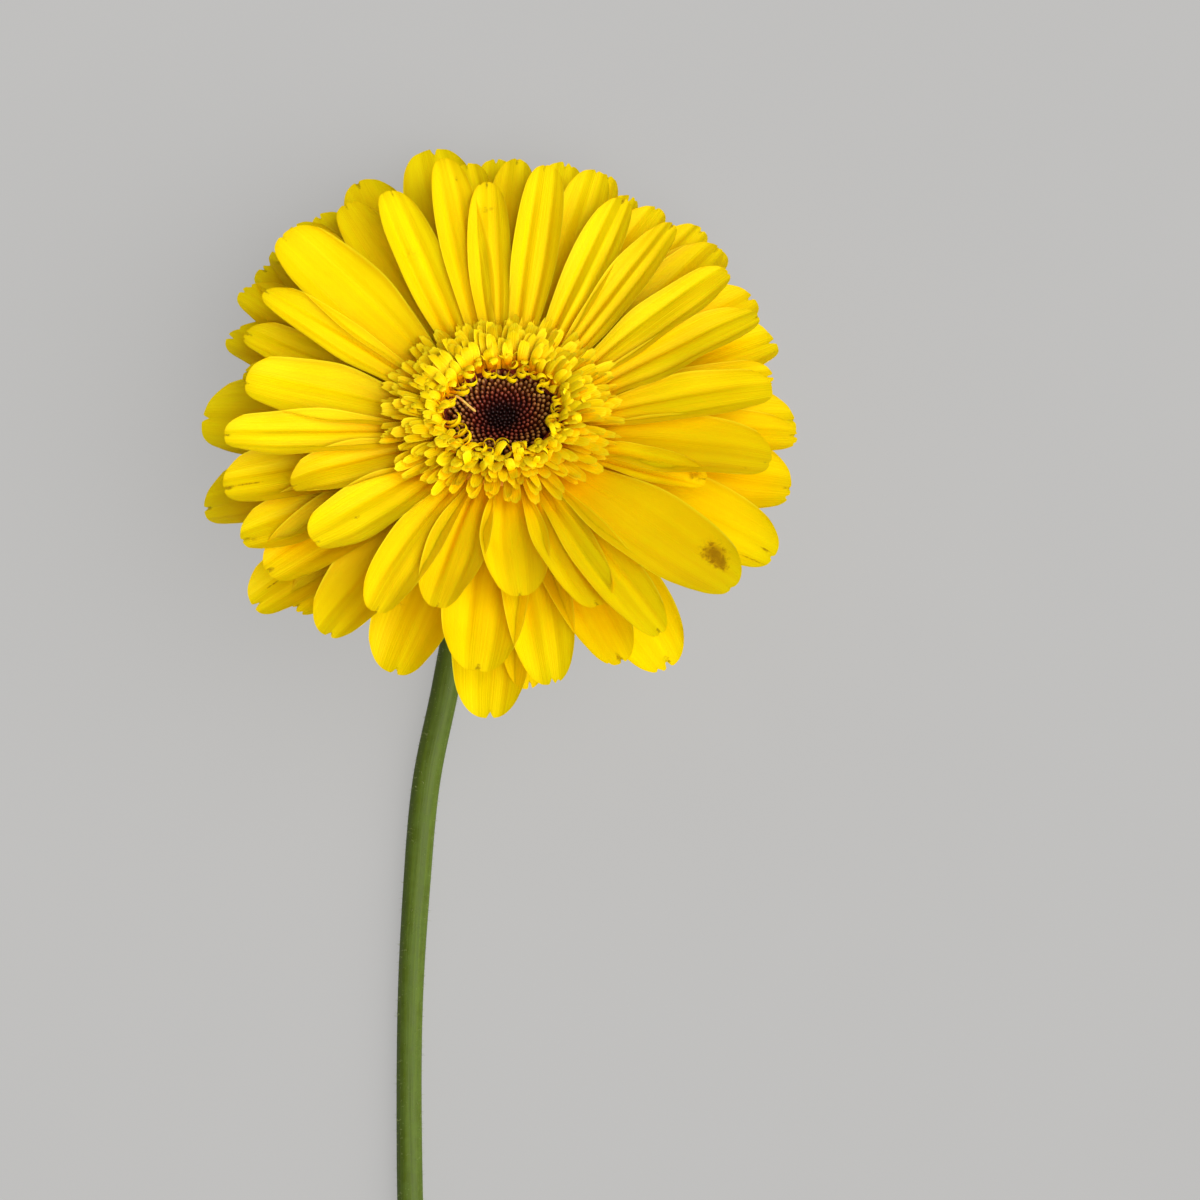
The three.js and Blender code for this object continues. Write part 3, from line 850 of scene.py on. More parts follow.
def petal_outline(row, across, power, narrow):
    """Place along the petal, and share of its full width, over a grid of rows (0 to 1) and across (-1 to 1).

    Up to the widest place a row is straight and its share rises smoothly from narrow. Beyond it, with p from
    0 to 1, the grid fills the end of a superellipse: place = widest + (1 - widest) * p *
    (1 - |across|^power / 2)^(1 / power), and share = (1 - p^power / 2)^(1 / power).
    """
    p = np.clip((row - PETAL_WIDEST) / (1 - PETAL_WIDEST), 0, 1)
    end = PETAL_WIDEST + (1 - PETAL_WIDEST) * p * (1 - np.abs(across) ** power / 2) ** (1 / power)
    place = np.where(row < PETAL_WIDEST, row, end)
    foot = narrow + (1 - narrow) * smooth(row, 0.0, PETAL_WIDEST)
    return place, np.where(row < PETAL_WIDEST, foot, (1 - p**power / 2) ** (1 / power))


def petal_layer(name, facts, sizes, random):
    """Points, faces, UV and values of one layer of petals.

    The outline is drawn back at the tip by V-shaped nicks, which grow in over the last rows. The sheet is
    hollowed by dip * share^2 * (1 - across^2). It has two grooves and a ridge between them, each a bell
    across, and rims that are turned up and rise and fall as a sine along, together by across^2 and against
    each other by across. Its tip bends up or down.
    """
    layer = PETAL_LAYERS[name]
    azimuth, reach, width, roll, sway = facts
    count = len(azimuth)
    each = lambda key: random.uniform(*PETAL_FORM[key], count)[:, None, None]
    row = (1 - (1 - np.linspace(0, 1, PETAL_ROWS)) ** 1.3)[None, :, None]
    line = np.linspace(-1, 1, PETAL_COLUMNS)
    across = (line * (0.75 + 0.25 * line**2))[None, None, :]
    reach = reach * PETAL_LENGTHENING
    span = (reach - layer["root"][0])[:, None, None]
    place, share = petal_outline(row, across, each("roundness"), layer["foot"])

    nick = each("nick") * layer["nick"] * sizes.notch_depth / MM / span
    second = np.where(each("chance") > SECOND_NICK_FROM, each("second_nick"), 0) * layer["nick"] / span
    nick_place, second_place = each("nick_place"), each("second_place") * np.sign(each("side"))
    wedge = lambda middle: np.clip(1 - np.abs(across - middle) / NICK_HALF, 0, 1)
    place = place - (nick * wedge(nick_place) + second * wedge(second_place)) * smooth(row, 0.86, 1.0)

    dip = (layer["dip"] * width / 10)[:, None, None] * each("hollow")
    lift = -dip * share**2 * (1 - across**2)
    grooves = bell(np.abs(across), each("groove_place"), GROOVE_HALF) * smooth(place, 0.02, 0.25)
    grooves = grooves * (1 - 0.75 * smooth(place, 0.6, 0.98))
    ridge = bell(across, each("ridge_place"), RIDGE_HALF) * smooth(place, 0.05, 0.3)
    ridge = ridge * (1 - 0.6 * smooth(place, 0.7, 0.98))
    lift = lift + sizes.groove_depth / MM * (each("ridge") * ridge - each("groove") * grooves)
    lift = lift + RIM_RISE * smooth(np.abs(across), 0.82, 1.0) * smooth(place, 0.1, 0.4)
    wave = np.sin(2 * np.pi * (each("waves") * place + each("phase"))) * across**2
    lift = lift + sizes.rim_wave / MM * each("wave") * wave * smooth(place, 0.1, 0.5)
    twist = np.sin(2 * np.pi * (each("twists") * place + each("phase"))) * across
    lift = lift + RIM_TWIST * each("twist") * twist * smooth(place, 0.1, 0.5)
    lift = lift + each("tip_bend") * smooth(place, 0.74, 1.0) ** 1.5
    thickness = sizes.petal_thickness / MM * (1 - np.abs(across) ** 3) * (1 - row**10) * np.ones_like(place)

    path = bezier(petal_controls(layer, azimuth, reach, sway), place)
    half_width = PETAL_FULLNESS * width[:, None, None] / 2 * share
    points, faces, uv, under = blades(
        path, polar(1, azimuth - 90, 0), place, across, half_width, lift, thickness, roll,
    )
    tone = np.broadcast_to(random.uniform(0, 1, count)[:, None], under.shape)
    brown = bell(uv[..., 0], 0.5 + nick_place[:, :, 0] / 2, NICK_BROWN) * smooth(uv[..., 1], 0.95, 0.985)
    mark = brown * each("brown")[:, :, 0] + petal_marks(name, azimuth, uv)
    return points, faces, uv, {"tone": tone, "under": under, "mark": mark}


def petal_marks(name, azimuth, uv):
    """Brown marks of single petals: bells across and along the blade round each mark's middle."""
    total = np.zeros(uv.shape[:2])
    for angle, side, along, wide, long, strength in PETAL_MARKS.get(name, ()):
        spot = bell(uv[..., 0], side, wide) * bell(uv[..., 1], along, long)
        total += (azimuth == angle)[:, None] * strength * spot
    return total


def rest_on_floor(points):
    """Heights from floor press below 0 up to floor band are squeezed evenly into those from 0 up to it."""
    height = points[..., 2]
    squeezed = (height + FLOOR_PRESS) * FLOOR_BAND / (FLOOR_BAND + FLOOR_PRESS)
    points[..., 2] = np.where(height < FLOOR_BAND, squeezed, height)
    return points


class GERBERA_OT_ray_petals(bpy.types.Operator):
    """Make the four layers of yellow ray petals and the ring they grow from"""

    bl_idname = "gerbera.ray_petals"
    bl_label = "Make ray petals"

    def execute(self, context):
        sizes, colours = prepared(context)
        material = petal_finish(colours)
        random = np.random.default_rng(21)
        for name, facts in petal_facts().items():
            points, faces, uv, values = petal_layer(name, facts, sizes, random)
            points = rest_on_floor(to_world(points))
            add_piece(f"ray_petals_{name}", points, faces, material, ["ray_petals"], uv, values)
        core = plain_finish(
            "Petal ring", colours.floret_base_and_shade, colours.petal_base_and_shade, 400.0, {"Subsurface Weight": 0.1},
        )
        points, faces = ring_core(RAY_RING, RING_SIDES)
        add_piece("ray_petal_ring", to_world(points), faces, core, ["ray_petals"])
        return {"FINISHED"}


# ---------------------------------------------------------------- trans florets

# Rows of straps, from the outside in: how many, their width, their cup and the controls of their curve, each
# (radius, height). A strap is cupped upward where cup is above 0 and hooded where it is below.
STRAP_ROWS = {
    "outer": [
        (50, 2.1, 0.4, [(12.2, 5.4), (15.0, 7.2), (19.4, 7.6), (23.4, 8.3)]),
        (54, 2.0, 0.35, [(12.1, 5.8), (14.6, 8.0), (18.6, 8.5), (22.2, 9.2)]),
        (54, 2.0, 0.3, [(12.0, 6.1), (14.2, 8.8), (17.6, 9.4), (20.6, 9.9)]),
    ],
    "middle": [
        (50, 2.1, 0.2, [(11.8, 6.3), (13.4, 9.4), (16.4, 10.2), (19.2, 10.6)]),
        (46, 2.1, 0.1, [(11.6, 6.4), (12.8, 9.9), (15.4, 10.8), (17.8, 11.1)]),
        (42, 2.1, -0.1, [(11.3, 6.5), (12.2, 10.2), (14.4, 11.4), (16.4, 11.4)]),
        (38, 2.0, -0.1, [(11.0, 6.5), (11.6, 10.2), (13.3, 11.7), (15.0, 11.5)]),
        (34, 1.9, -0.1, [(10.8, 6.5), (11.1, 10.0), (12.2, 11.5), (13.6, 11.4)]),
    ],
}
STRAP_STRAY = {"azimuth": 3.4, "radius": 1.1, "height": 0.7, "roll": 42.0}
STRAP_FOLLOW = np.array([0, 0.3, 0.7, 1.0])  # share of its stray that each control of a strap takes
STRAP_SHORTER = {"azimuth": 266.0, "width": 22.0, "share": 0.26}  # where cupped straps reach less far
STRAP_WIDEST = 0.66  # place along a strap

# Ribbons that curl over the rim of the disc: how many, and the lowest and highest value of each measure.
# Upright ones curl in a plane across the disc, so their edges show. Rolled ones lean over the disc and roll
# inward. Those of the crest are short and stand on top of the collar.
RIBBONS = {
    "upright": (46, {
        "radius": (10.2, 11.5), "height": (9.0, 10.8), "lean": (-60.0, 60.0), "tilt": (-30.0, 30.0),
        "length": (4.4, 7.2), "curl": (180.0, 330.0), "straight": (0.1, 0.3), "width": (0.6, 1.3),
    }),
    "rolled": (28, {
        "radius": (11.0, 12.0), "height": (8.0, 9.8), "lean": (-10.0, 30.0), "tilt": (-60.0, 60.0),
        "length": (4.0, 5.8), "curl": (110.0, 260.0), "straight": (0.25, 0.45), "width": (1.0, 1.6),
    }),
    "crest": (70, {
        "radius": (12.0, 14.6), "height": (8.8, 10.0), "lean": (-30.0, 30.0), "tilt": (-80.0, 80.0),
        "length": (2.4, 3.9), "curl": (30.0, 150.0), "straight": (0.2, 0.5), "width": (1.1, 1.9),
    }),
}
RIBBON_DROP = 1.8  # how much lower the ribbons start on the far side, at azimuth 90
RIBBON_SPREAD = 1.4  # how much further out they start on the near side, at azimuth 270
RIBBON_REACH = 0.12  # how much more of a ribbon is straight on the far side, and less on the near side


def strap_width(place, foot):
    """Share of a strap's full width: foot at the root, 1 at the widest place, and a rounded tip."""
    rise = foot + (1 - foot) * smooth(place, 0.0, STRAP_WIDEST)
    end = np.sqrt(np.clip(1 - np.clip((place - STRAP_WIDEST) / 0.36, 0, 1) ** 2.6, 0, 1))
    return np.where(place < STRAP_WIDEST, rise, end)


def strap_grid(count, rows, columns, random):
    """Places along and shares across of N straps, whose last row is ragged."""
    across = np.linspace(-1, 1, columns)[None, None, :]
    line = np.linspace(0, 1, rows) ** 0.85
    ragged = random.uniform(0, 0.07, (count, 1, columns))
    return line[None, :, None] * (1 - 0.03 * across**2 - ragged * (line > 0.99)[None, :, None]), across


def strap_shape(path, side, place, across, half_width, lift, roll, sizes, random):
    """Blades of a strap's thickness as flat arrays of points, faces and UV, with a tone for each blade."""
    thickness = sizes.strap_thickness / MM * np.ones_like(place)
    points, faces, uv, under = blades(path, side, place, across, half_width, lift, thickness, roll)
    tone = np.broadcast_to(random.uniform(0, 1, len(place))[:, None], under.shape)
    return points.reshape(-1, 3), faces, uv.reshape(-1, 2), tone.ravel()


def strap_row(row, sizes, random):
    """One row of straps: cupped blades on cubic curves from the ring, with a stray for each control."""
    count, width, cup, controls = row
    azimuth = (np.arange(count) + random.uniform()) * 360 / count
    azimuth = azimuth + random.uniform(-1, 1, count) * STRAP_STRAY["azimuth"]
    controls = np.repeat(np.array(controls, float)[None], count, axis=0)
    stray = random.uniform(-1, 1, (count, 2)) * [STRAP_STRAY["radius"], STRAP_STRAY["height"]]
    controls += stray[:, None] * STRAP_FOLLOW[None, :, None]
    less = STRAP_SHORTER["share"] * bell(azimuth, STRAP_SHORTER["azimuth"], STRAP_SHORTER["width"])
    controls[:, 2:, 0] *= 1 - (less * max(0.0, cup))[:, None]
    turn = random.uniform(-1, 1, count) * STRAP_STRAY["azimuth"]
    turns = azimuth[:, None] + turn[:, None] * STRAP_FOLLOW
    place, across = strap_grid(count, 8, 5, random)
    share = strap_width(place, 0.6)
    half_width = (width / 2 * random.uniform(0.85, 1.15, count))[:, None, None] * share
    depth = random.uniform(0.6, 1.2, count)[:, None, None] * cup * width / 2
    path = bezier(polar(controls[..., 0], turns, controls[..., 1]), place)
    lift = -depth * share * (1 - across**2)
    roll = random.uniform(-1, 1, count) * STRAP_STRAY["roll"]
    side = polar(1, azimuth - 90, 0)
    return strap_shape(path, side, place, across, half_width, lift, roll, sizes, random)


def ribbons(kind, sizes, random):
    """Straps that rise from the inner wall and curl, each about an axis of its own.

    An upright ribbon starts inward, turned aside by its lean, and curls about the bloom's axis, tipped by its
    tilt toward the start's side. A rolled one starts upward, leaning inward, and curls about a line along the
    rim, turned by its tilt.
    """
    count, ranges = RIBBONS[kind]
    drawn = {name: random.uniform(*ends, count) for name, ends in ranges.items()}
    azimuth = (np.arange(count) + random.uniform(-0.4, 0.4, count)) * 360 / count
    lean, tilt = np.radians(drawn["lean"])[:, None], np.radians(drawn["tilt"])[:, None]
    inward, around, up = -polar(1, azimuth, 0), polar(1, azimuth + 90, 0), np.array([0, 0, 1.0])
    if kind == "upright":
        start = unit(inward * np.cos(lean) + around * np.sin(lean) + 0.25 * up)
        upright = unit(up - start * start[:, 2:])
        axis = upright * np.cos(tilt) + np.cross(start, upright) * np.sin(tilt)
        axis = axis * np.where(random.uniform(size=count) < 0.5, -1, 1)[:, None]
    else:
        start = inward * np.sin(lean) + up * np.cos(lean)
        axis = -around * np.cos(tilt) - np.cross(around, start) * np.sin(tilt)
    far = np.sin(np.radians(azimuth))
    radius = drawn["radius"] + RIBBON_SPREAD * (1 - far) / 2
    height = drawn["height"] - RIBBON_DROP * (1 + far) / 2
    place, across = strap_grid(count, 14, 5, random)
    straight = drawn["straight"] + RIBBON_REACH * far
    path = coils(polar(radius, azimuth, height), start, axis, drawn["length"], drawn["curl"], straight, place)
    share = strap_width(place, 0.7)
    width = drawn["width"][:, None, None]
    lift = -0.08 * width * share * (1 - across**2)
    roll = random.uniform(-15, 15, count)
    return strap_shape(path, axis, place, across, width / 2 * share, lift, roll, sizes, random)


def joined(shapes):
    """Several (points, faces, uv, tone) shapes as one, with each one's vertex numbers moved on."""
    offset, points, faces, uv, tone = 0, [], [], [], []
    for shape in shapes:
        points.append(shape[0])
        faces.append(shape[1] + offset)
        uv.append(shape[2])
        tone.append(shape[3])
        offset += len(shape[0])
    return np.concatenate(points), np.concatenate(faces), np.concatenate(uv), np.concatenate(tone)


class GERBERA_OT_trans_florets(bpy.types.Operator):
    """Make the rows of small yellow straps round the disc, and the ring they grow from"""

    bl_idname = "gerbera.trans_florets"
    bl_label = "Make trans florets"

    def execute(self, context):
        sizes, colours = prepared(context)
        random = np.random.default_rng(34)
        materials = {
            "outer": floret_finish(colours, "Outer florets", 0.85, 0.52),
            "middle": floret_finish(colours, "Middle florets", 0.95, 0.56),
            "inner": floret_finish(colours, "Inner florets", 1.0, 0.36),
        }
        shapes = {}
        for name, rows in STRAP_ROWS.items():
            shapes[name] = joined([strap_row(row, sizes, random) for row in rows])
        shapes["inner"] = joined([ribbons(kind, sizes, random) for kind in RIBBONS])
        for name, (points, faces, uv, tone) in shapes.items():
            add_piece(
                f"trans_florets_{name}", to_world(points), faces, materials[name],
                ["trans_florets"], uv, {"tone": tone},
            )
        core = plain_finish("Floret ring", colours.dish, colours.bud_zone, 500.0, {"Specular IOR Level": 0.1})
        points, faces = ring_core(FLORET_RING, RING_SIDES)
        add_piece("trans_floret_ring", to_world(points), faces, core, ["trans_florets"])
        return {"FINISHED"}


# ---------------------------------------------------------------- disc

def disc_height(radius):
    """Height of the dished top of the disc: a straight slope from the middle to the rim."""
    return DISC_MIDDLE + (DISC_RIM - DISC_MIDDLE) * radius / DISC_RADIUS


def bud_shapes(count, height, random):
    """Closed buds in a golden-angle spiral.

    Bud i stands at radius * (i / count)^spiral power and azimuth i * golden angle. Each is a turned dome
    whose radius has five faint lobes, leaning a little outward.
    """
    number = np.arange(1, count + 1)
    radius = (DISC_RADIUS + 0.1) * (number / count) ** SPIRAL_POWER + random.uniform(-0.06, 0.06, count)
    share = radius / DISC_RADIUS
    azimuth = number * GOLDEN_ANGLE
    centre = polar(radius, azimuth + random.uniform(-0.6, 0.6, count), disc_height(radius))
    size = (0.3 + 0.17 * share) * random.uniform(0.88, 1.1, count)
    tall = height * (0.6 + 0.4 * share) * random.uniform(0.8, 1.2, count)
    angle = np.radians(np.arange(BUD_SIDES) * 360 / BUD_SIDES) + random.uniform(0, 6.28, count)[:, None]
    lobe = 1 + 0.08 * np.cos(5 * angle)
    across = size[:, None, None] * BUD_PROFILE[None, :, None, 0] * lobe[:, None, :]
    levels = np.broadcast_to(tall[:, None, None] * BUD_PROFILE[None, :, None, 1], across.shape)
    rings = np.stack([across * np.cos(angle)[:, None], across * np.sin(angle)[:, None], levels], -1)
    lean = polar(1, azimuth, 0) * (0.28 * share + random.uniform(-0.1, 0.1, count))[:, None]
    rings = rings + lean[:, None, None] * rings[..., 2:]
    ends = BUD_PROFILE[0, 1], 1.0
    poles = [((lean + [0, 0, 1.0]) * (tall * end)[:, None])[:, None] for end in ends]
    points = np.concatenate([rings.reshape(count, -1, 3), *poles], axis=1) + centre[:, None]
    step = points.shape[1]
    shift = (np.arange(count) * step)[:, None, None]
    tube = tube_faces(len(BUD_PROFILE), BUD_SIDES)
    faces = [(part[None] + shift).reshape(-1, part.shape[1]) for part in tube]
    values = {
        "ring": np.repeat(share, step),
        "top": np.tile(np.concatenate([np.repeat(BUD_PROFILE[:, 1], BUD_SIDES), ends]), count),
        "tone": np.repeat(random.uniform(0, 1, count), step),
    }
    return points, faces, values


def rod(path, radii, sides):
    """A round rod: a circle carried along a path, its radius changing, with a pole at each end."""
    along = unit(np.gradient(path, axis=0))
    first = unit(np.cross(along, [0.0, 0.0, 1.0]))
    second = np.cross(first, along)
    angle = np.radians(np.arange(sides) * 360 / sides)[None, :, None]
    circle = np.cos(angle) * first[:, None] + np.sin(angle) * second[:, None]
    rings = path[:, None] + radii[:, None, None] * circle
    points = np.concatenate([rings.reshape(-1, 3), path[:1], path[-1:]])
    return points, [part[:, ::-1] for part in tube_faces(len(path), sides)]


class GERBERA_OT_disc(bpy.types.Operator):
    """Make the dark dished disc, its closed buds and the one pale style that lies on it"""

    bl_idname = "gerbera.disc"
    bl_label = "Make disc"

    def execute(self, context):
        sizes, colours = prepared(context)
        random = np.random.default_rng(55)
        dish = plain_finish(
            "Disc dish", colours.dish, colours.bud_heart, 900.0, {"Specular IOR Level": 0.15}, (0.6, 0.85),
        )
        top = [(radius, disc_height(radius)) for radius in DISH_TOP]
        points, faces = turned(DISH_WALL + top, RING_SIDES)
        add_piece("disc_dish", to_world(points), faces, dish, ["disc"])
        points, faces, values = bud_shapes(sizes.bud_count, sizes.bud_height / MM, random)
        add_piece("disc_buds", to_world(points), faces, bud_finish(colours), ["disc"], None, values)
        style = plain_finish(
            "Pale style", colours.style, colours.style_base, 700.0,
            {"Subsurface Weight": 0.2, "Subsurface Scale": 0.0008},
        )
        points, faces = rod(through(STYLE_PATH, len(STYLE_RADII)), STYLE_RADII, 8)
        add_piece("stray_style", to_world(points), faces, style, [])
        return {"FINISHED"}


# ---------------------------------------------------------------- green cup

def bract_row(row, draws):
    """One row of bracts: keeled pointed blades on the cup, with the part's own stray for each."""
    count = row["count"]
    draws = np.array(draws).reshape(count, DRAWS_PER_BRACT)
    azimuth = np.arange(count) * 360 / count + BRACT_STRAY["azimuth"] * draws[:, 0]
    length_stray = BRACT_STRAY["length"] * draws[:, 1]
    root = polar(row["root"][0], azimuth, row["root"][1])
    tip_azimuth = azimuth + BRACT_STRAY["azimuth"] * draws[:, 2]
    tip = polar(row["tip"][0] + length_stray, tip_azimuth, row["tip"][1] + length_stray)
    bend = (root + tip) / 2 + polar(BRACT_BOW, azimuth, -BRACT_BOW)
    rows, columns = 12, 7
    across = np.linspace(-1, 1, columns)[None, None, :]
    place = np.broadcast_to(np.linspace(0, 1, rows)[None, :, None], (count, rows, columns))
    share = np.maximum((1 - place**2.2) ** 0.75, 0.05)
    lift = (BRACT_ARCH + 0.1) * share**2 * (1 - across**2) + 0.15 * bell(across, 0, 0.2) * (1 - place)
    thickness = 0.6 * (1 - 0.5 * across**2) * (1 - 0.6 * place)
    points, faces, uv, under = blades(
        bezier(np.stack([root, bend, tip], axis=1), place), polar(1, azimuth + 90, 0), place, across,
        row["width"] / 2 * share, lift, thickness, np.zeros(count),
    )
    tone = np.broadcast_to((draws[:, 0] + 1)[:, None] / 2, under.shape)
    return points.reshape(-1, 3), faces, uv.reshape(-1, 2), tone.ravel()


class GERBERA_OT_involucre(bpy.types.Operator):
    """Make the green cup behind the head, its bracts and their woolly hairs"""

    bl_idname = "gerbera.involucre"
    bl_label = "Make green cup"

    def execute(self, context):
        sizes, colours = prepared(context)
        skin = plain_finish(
            "Green cup", colours.cup, colours.stem_dark, 350.0,
            {"Subsurface Weight": 0.1, "Subsurface Scale": 0.001, "Sheen Weight": 0.2},
        )
        points, faces = turned(through(CUP_PROFILE, CUP_RINGS), CUP_SIDES)
        add_piece("cup", to_world(points), faces, skin, ["involucre"])

        bracts = sum(row["count"] for row in BRACT_ROWS)
        draws, shapes, first = part_draws(bracts * DRAWS_PER_BRACT), [], 0
        for row in BRACT_ROWS:
            last = first + row["count"] * DRAWS_PER_BRACT
            shapes.append(bract_row(row, draws[first:last]))
            first = last
        points, faces, uv, tone = joined(shapes)
        add_piece(
            "bracts", to_world(points), faces, bract_finish(colours), ["involucre"], uv,
            {"tone": tone},
        )

        random = np.random.default_rng(72)
        chosen = random.choice(len(points), sizes.cup_hairs)
        feet = points[chosen]
        outward = unit(feet * [1, 1, 0] + [0, 0, -3.0])
        directions = unit(outward + random.normal(0, 0.45, feet.shape))
        lengths = random.uniform(0.8, 2.0, len(feet))
        points, faces = hairs(feet, directions, lengths, WOOL_RADIUS)
        wool = plain_finish("Pale hair", colours.wool, colours.cup, 300.0, {}, (0.6, 0.8))
        add_piece("cup_wool", to_world(points), faces, wool, [])
        return {"FINISHED"}


# ---------------------------------------------------------------- stem

def stem_path(samples):
    """The stem's middle line in the world: straight under the cup, a round bend, then along the floor.

    The bend's points stand at even angles of a round arc that starts at the head's lean, while they drift
    sideways by neck side * share^1.5.
    """
    lean = math.radians(HEAD_TILT)
    down = np.array([0, -math.sin(lean), -math.cos(lean)])
    top = HEAD_CENTRE + down * (CUP_DEPTH + GAP)
    neck = top + down * NECK_LENGTH
    bend = (neck[2] - STEM_RADIUS) / (1 - math.sin(lean))
    share = np.arange(1, BEND_POINTS + 1) / BEND_POINTS
    angle = lean + (math.pi / 2 - lean) * share
    back, fall = bend * (math.cos(lean) - np.cos(angle)), bend * (np.sin(angle) - math.sin(lean))
    curve = neck + np.stack([NECK_SIDE * share**1.5, -back, -fall], -1)
    lying = np.array([(HEAD_CENTRE[0] + x, HEAD_CENTRE[1] + y, STEM_RADIUS) for x, y in STEM_POINTS])
    return through(np.vstack([top, neck, curve, lying]), samples)


def even_steps(path, count):
    """The path sampled again at count even steps of its length, with the distance along it."""
    distance = np.concatenate([[0], np.cumsum(np.linalg.norm(np.diff(path, axis=0), axis=1))])
    places = np.linspace(0, distance[-1], count)
    return np.stack([np.interp(places, distance, path[:, k]) for k in range(3)], -1), places


class GERBERA_OT_stem(bpy.types.Operator):
    """Make the bare green stem with its cut end, and the short hairs on it"""

    bl_idname = "gerbera.stem"
    bl_label = "Make stem"

    def execute(self, context):
        sizes, colours = prepared(context)
        random = np.random.default_rng(93)
        path, distance = even_steps(stem_path(900), STEM_RINGS)
        share = distance / distance[-1]
        fuller = STEM_FULLER * (1 - smooth(share, 0.15, 0.6))
        shift = STEM_RADIUS * fuller * smooth(share, 0.08, 0.16)
        path = path + shift[:, None] * np.array([-1.0, 0, 1.0])
        along = unit(np.gradient(path, axis=0))
        across = unit(np.cross(along, [0.0, 0.0, 1.0]))
        over = np.cross(across, along)
        angle = np.arange(STEM_SIDES) * 2 * np.pi / STEM_SIDES
        ridge = 0.008 * np.sin(7 * angle)[None] + 0.006 * np.sin(11 * angle[None] + 9 * share[:, None])
        swell = 0.02 * np.sin(2 * np.pi * (3.1 * share + 0.2)) + 0.25 * np.exp(-distance / 2.0) + fuller
        radius = STEM_RADIUS * (1.0 + ridge + swell[:, None])
        circle = np.cos(angle)[None, :, None] * across[:, None] + np.sin(angle)[None, :, None] * over[:, None]
        rings = path[:, None] + radius[..., None] * circle
        ends = [
            path[-1] + along[-1] * past + radius[-1][:, None] * shrink * circle[-1]
            for shrink, past, _ in CUT_RINGS
        ]
        poles = np.array([path[0] - along[0] * 0.7, path[-1] - along[-1] * 0.55])
        points = np.concatenate([rings.reshape(-1, 3), np.array(ends).reshape(-1, 3), poles])
        place = np.concatenate([share, np.ones(len(ends))])
        uv = np.stack(np.broadcast_arrays(angle[None] / (2 * np.pi), place[:, None]), -1).reshape(-1, 2)
        pale = np.concatenate([np.zeros(len(path)), [ring[2] for ring in CUT_RINGS]])
        add_piece(
            "stem_skin", points, tube_faces(len(place), STEM_SIDES), stem_finish(colours), ["stem"],
            np.concatenate([uv, [[0.5, 0.0], [0.5, 1.0]]]),
            {"cut": np.concatenate([np.repeat(pale, STEM_SIDES), [0, 0.5]])},
        )

        row = random.integers(0, len(path), sizes.stem_hairs)
        column = random.integers(0, STEM_SIDES, sizes.stem_hairs)
        feet = rings[row, column] + along[row] * random.uniform(-0.45, 0.45, (sizes.stem_hairs, 1))
        directions = unit(circle[row, column] + random.normal(0, 0.35, feet.shape))
        lengths = sizes.hair_length / MM * random.uniform(0.5, 1.4, sizes.stem_hairs)
        clear = (feet + directions * lengths[:, None])[:, 2] > 0.05
        feet, directions, lengths = feet[clear], directions[clear], lengths[clear]
        points, faces = hairs(feet - directions * 0.1, directions, lengths, HAIR_RADIUS)
        wool = plain_finish("Stem hair", colours.wool, colours.stem, 300.0, {}, (0.6, 0.8))
        add_piece("stem_hairs", points, faces, wool, [])
        return {"FINISHED"}


# ---------------------------------------------------------------- stage

def soft_light(name, strength, softness, lean, azimuth):
    """A wide light, infinitely far off, that leans from overhead toward an azimuth, counted from +X."""
    light = bpy.data.lights.new(name, "SUN")
    light.energy, light.angle = strength, softness
    lamp = bpy.data.objects.new(name, light)
    bpy.context.scene.collection.objects.link(lamp)
    lamp.rotation_euler = (0, lean, azimuth)


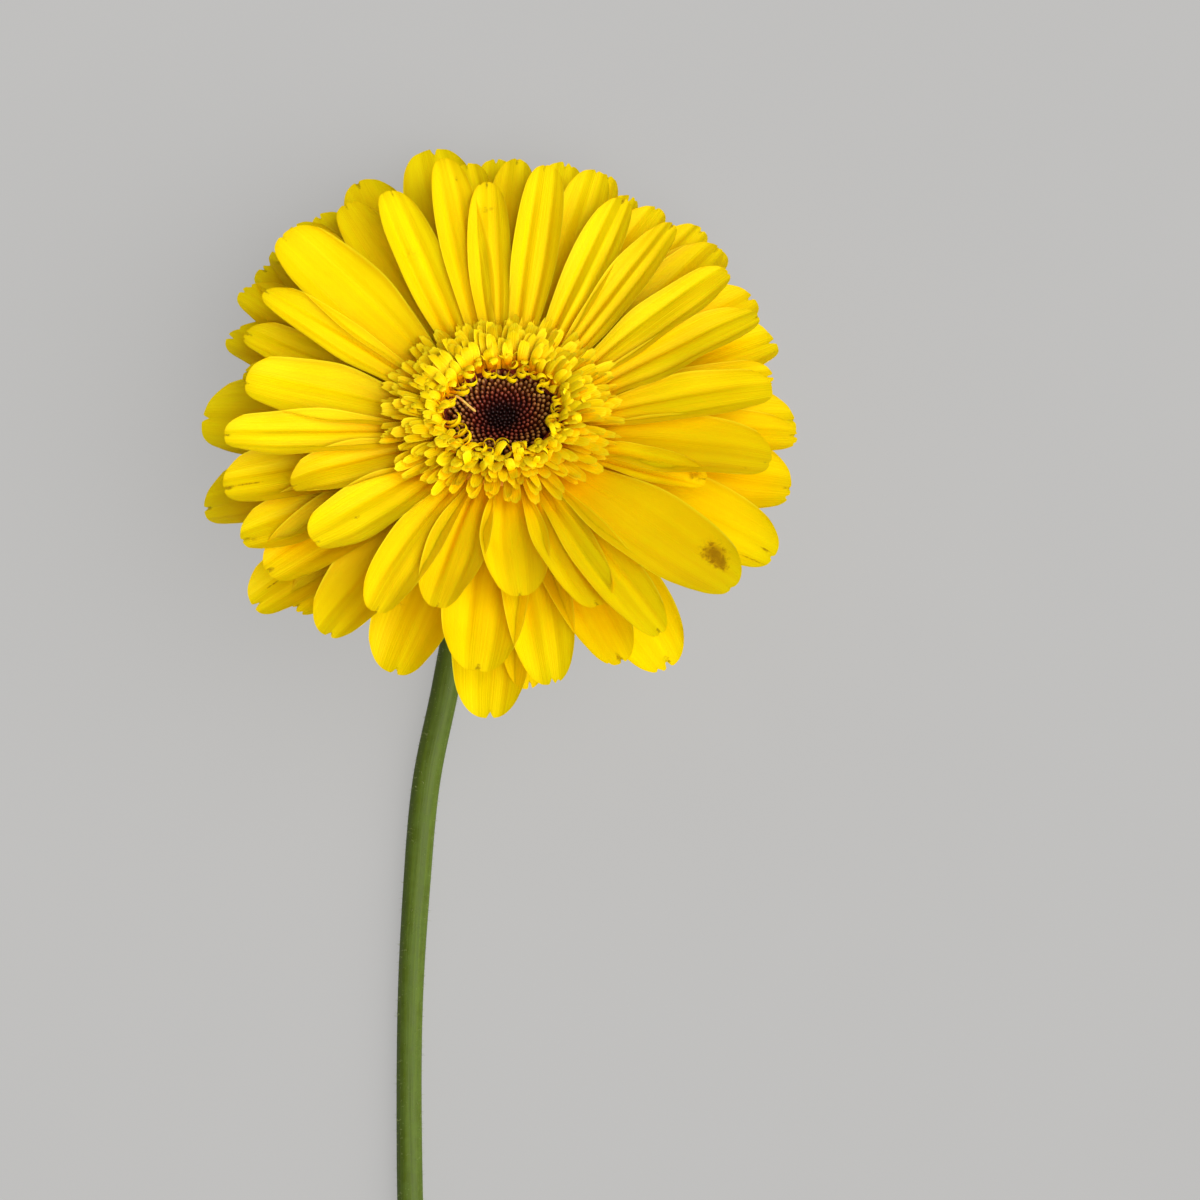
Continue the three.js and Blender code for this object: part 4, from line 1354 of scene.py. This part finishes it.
class GERBERA_OT_stage(bpy.types.Operator):
    """Make the plain floor, the soft lights and the camera"""

    bl_idname = "gerbera.stage"
    bl_label = "Make stage"

    def execute(self, context):
        prepared(context)
        scene = context.scene
        stage = scene.gerbera_stage

        mesh = bpy.data.meshes.new("floor")
        corners = np.array([(-1, -1), (1, -1), (1, 1), (-1, 1)]) * FLOOR_HALF
        mesh.from_pydata([(x, y, FLOOR_LEVEL) for x, y in corners.tolist()], [], [(0, 1, 2, 3)])
        pale = [min(1, value * 1.03) for value in stage.floor[:3]] + [1.0]
        glow = {
            "Emission Color": (1.0, 0.995, 0.98, 1.0), "Emission Strength": stage.floor_glow,
            "Specular IOR Level": 0.0,
        }
        mesh.materials.append(plain_finish("Plain floor", stage.floor, pale, 12.0, glow, (0.9, 1.0), 0.0))
        floor = bpy.data.objects.new("floor", mesh)
        scene.collection.objects.link(floor)

        world = bpy.data.worlds.new("Soft studio")
        world.use_nodes = True
        background = world.node_tree.nodes["Background"]
        background.inputs["Color"].default_value = stage.world
        background.inputs["Strength"].default_value = stage.world_strength
        scene.world = world

        lean = math.pi / 2 - stage.key_height
        soft_light("Key light", stage.key_strength, stage.key_softness, lean, stage.key_azimuth)

        camera = bpy.data.cameras.new("Camera")
        camera.sensor_width = SENSOR_WIDTH
        camera.lens = FOCAL_PIXELS / FRAME_PIXELS * camera.sensor_width
        camera.clip_start = 0.01
        holder = bpy.data.objects.new("Camera", camera)
        scene.collection.objects.link(holder)
        holder.location = ((HEAD_CENTRE + CAMERA_OFFSET) * MM).tolist()
        scene.camera = holder
        scene.view_settings.view_transform = "Standard"
        return {"FINISHED"}


# ---------------------------------------------------------------- add-on

OPERATORS = (
    GERBERA_OT_ray_petals, GERBERA_OT_trans_florets, GERBERA_OT_disc, GERBERA_OT_involucre, GERBERA_OT_stem,
    GERBERA_OT_stage,
)


class GERBERA_PT_pieces(bpy.types.Panel):
    """The flower's pieces, in the order they are made"""

    bl_label = "Gerbera daisy"
    bl_idname = "GERBERA_PT_pieces"
    bl_space_type = "VIEW_3D"
    bl_region_type = "UI"
    bl_category = "Gerbera"

    def draw(self, context):
        for operator in OPERATORS:
            self.layout.operator(operator.bl_idname)
        scene = context.scene
        for group in (scene.gerbera_sizes, scene.gerbera_colours, scene.gerbera_stage):
            for name in group.bl_rna.properties.keys():
                if name not in ("rna_type", "name"):
                    self.layout.prop(group, name)


CLASSES = (GerberaSizes, GerberaColours, GerberaStage, *OPERATORS, GERBERA_PT_pieces)


def register():
    """Makes the classes known, and gives the scene its sizes, colours and stage values."""
    for cls in CLASSES:
        bpy.utils.register_class(cls)
    bpy.types.Scene.gerbera_sizes = PointerProperty(type=GerberaSizes)
    bpy.types.Scene.gerbera_colours = PointerProperty(type=GerberaColours)
    bpy.types.Scene.gerbera_stage = PointerProperty(type=GerberaStage)


def unregister():
    """Takes back what register did, in reverse."""
    del bpy.types.Scene.gerbera_stage
    del bpy.types.Scene.gerbera_colours
    del bpy.types.Scene.gerbera_sizes
    for cls in reversed(CLASSES):
        bpy.utils.unregister_class(cls)


def main():
    """Registers the classes, then makes the pieces and the stage."""
    register()
    bpy.ops.gerbera.ray_petals()
    bpy.ops.gerbera.trans_florets()
    bpy.ops.gerbera.disc()
    bpy.ops.gerbera.involucre()
    bpy.ops.gerbera.stem()
    bpy.ops.gerbera.stage()


if __name__ == "__main__":
    main()
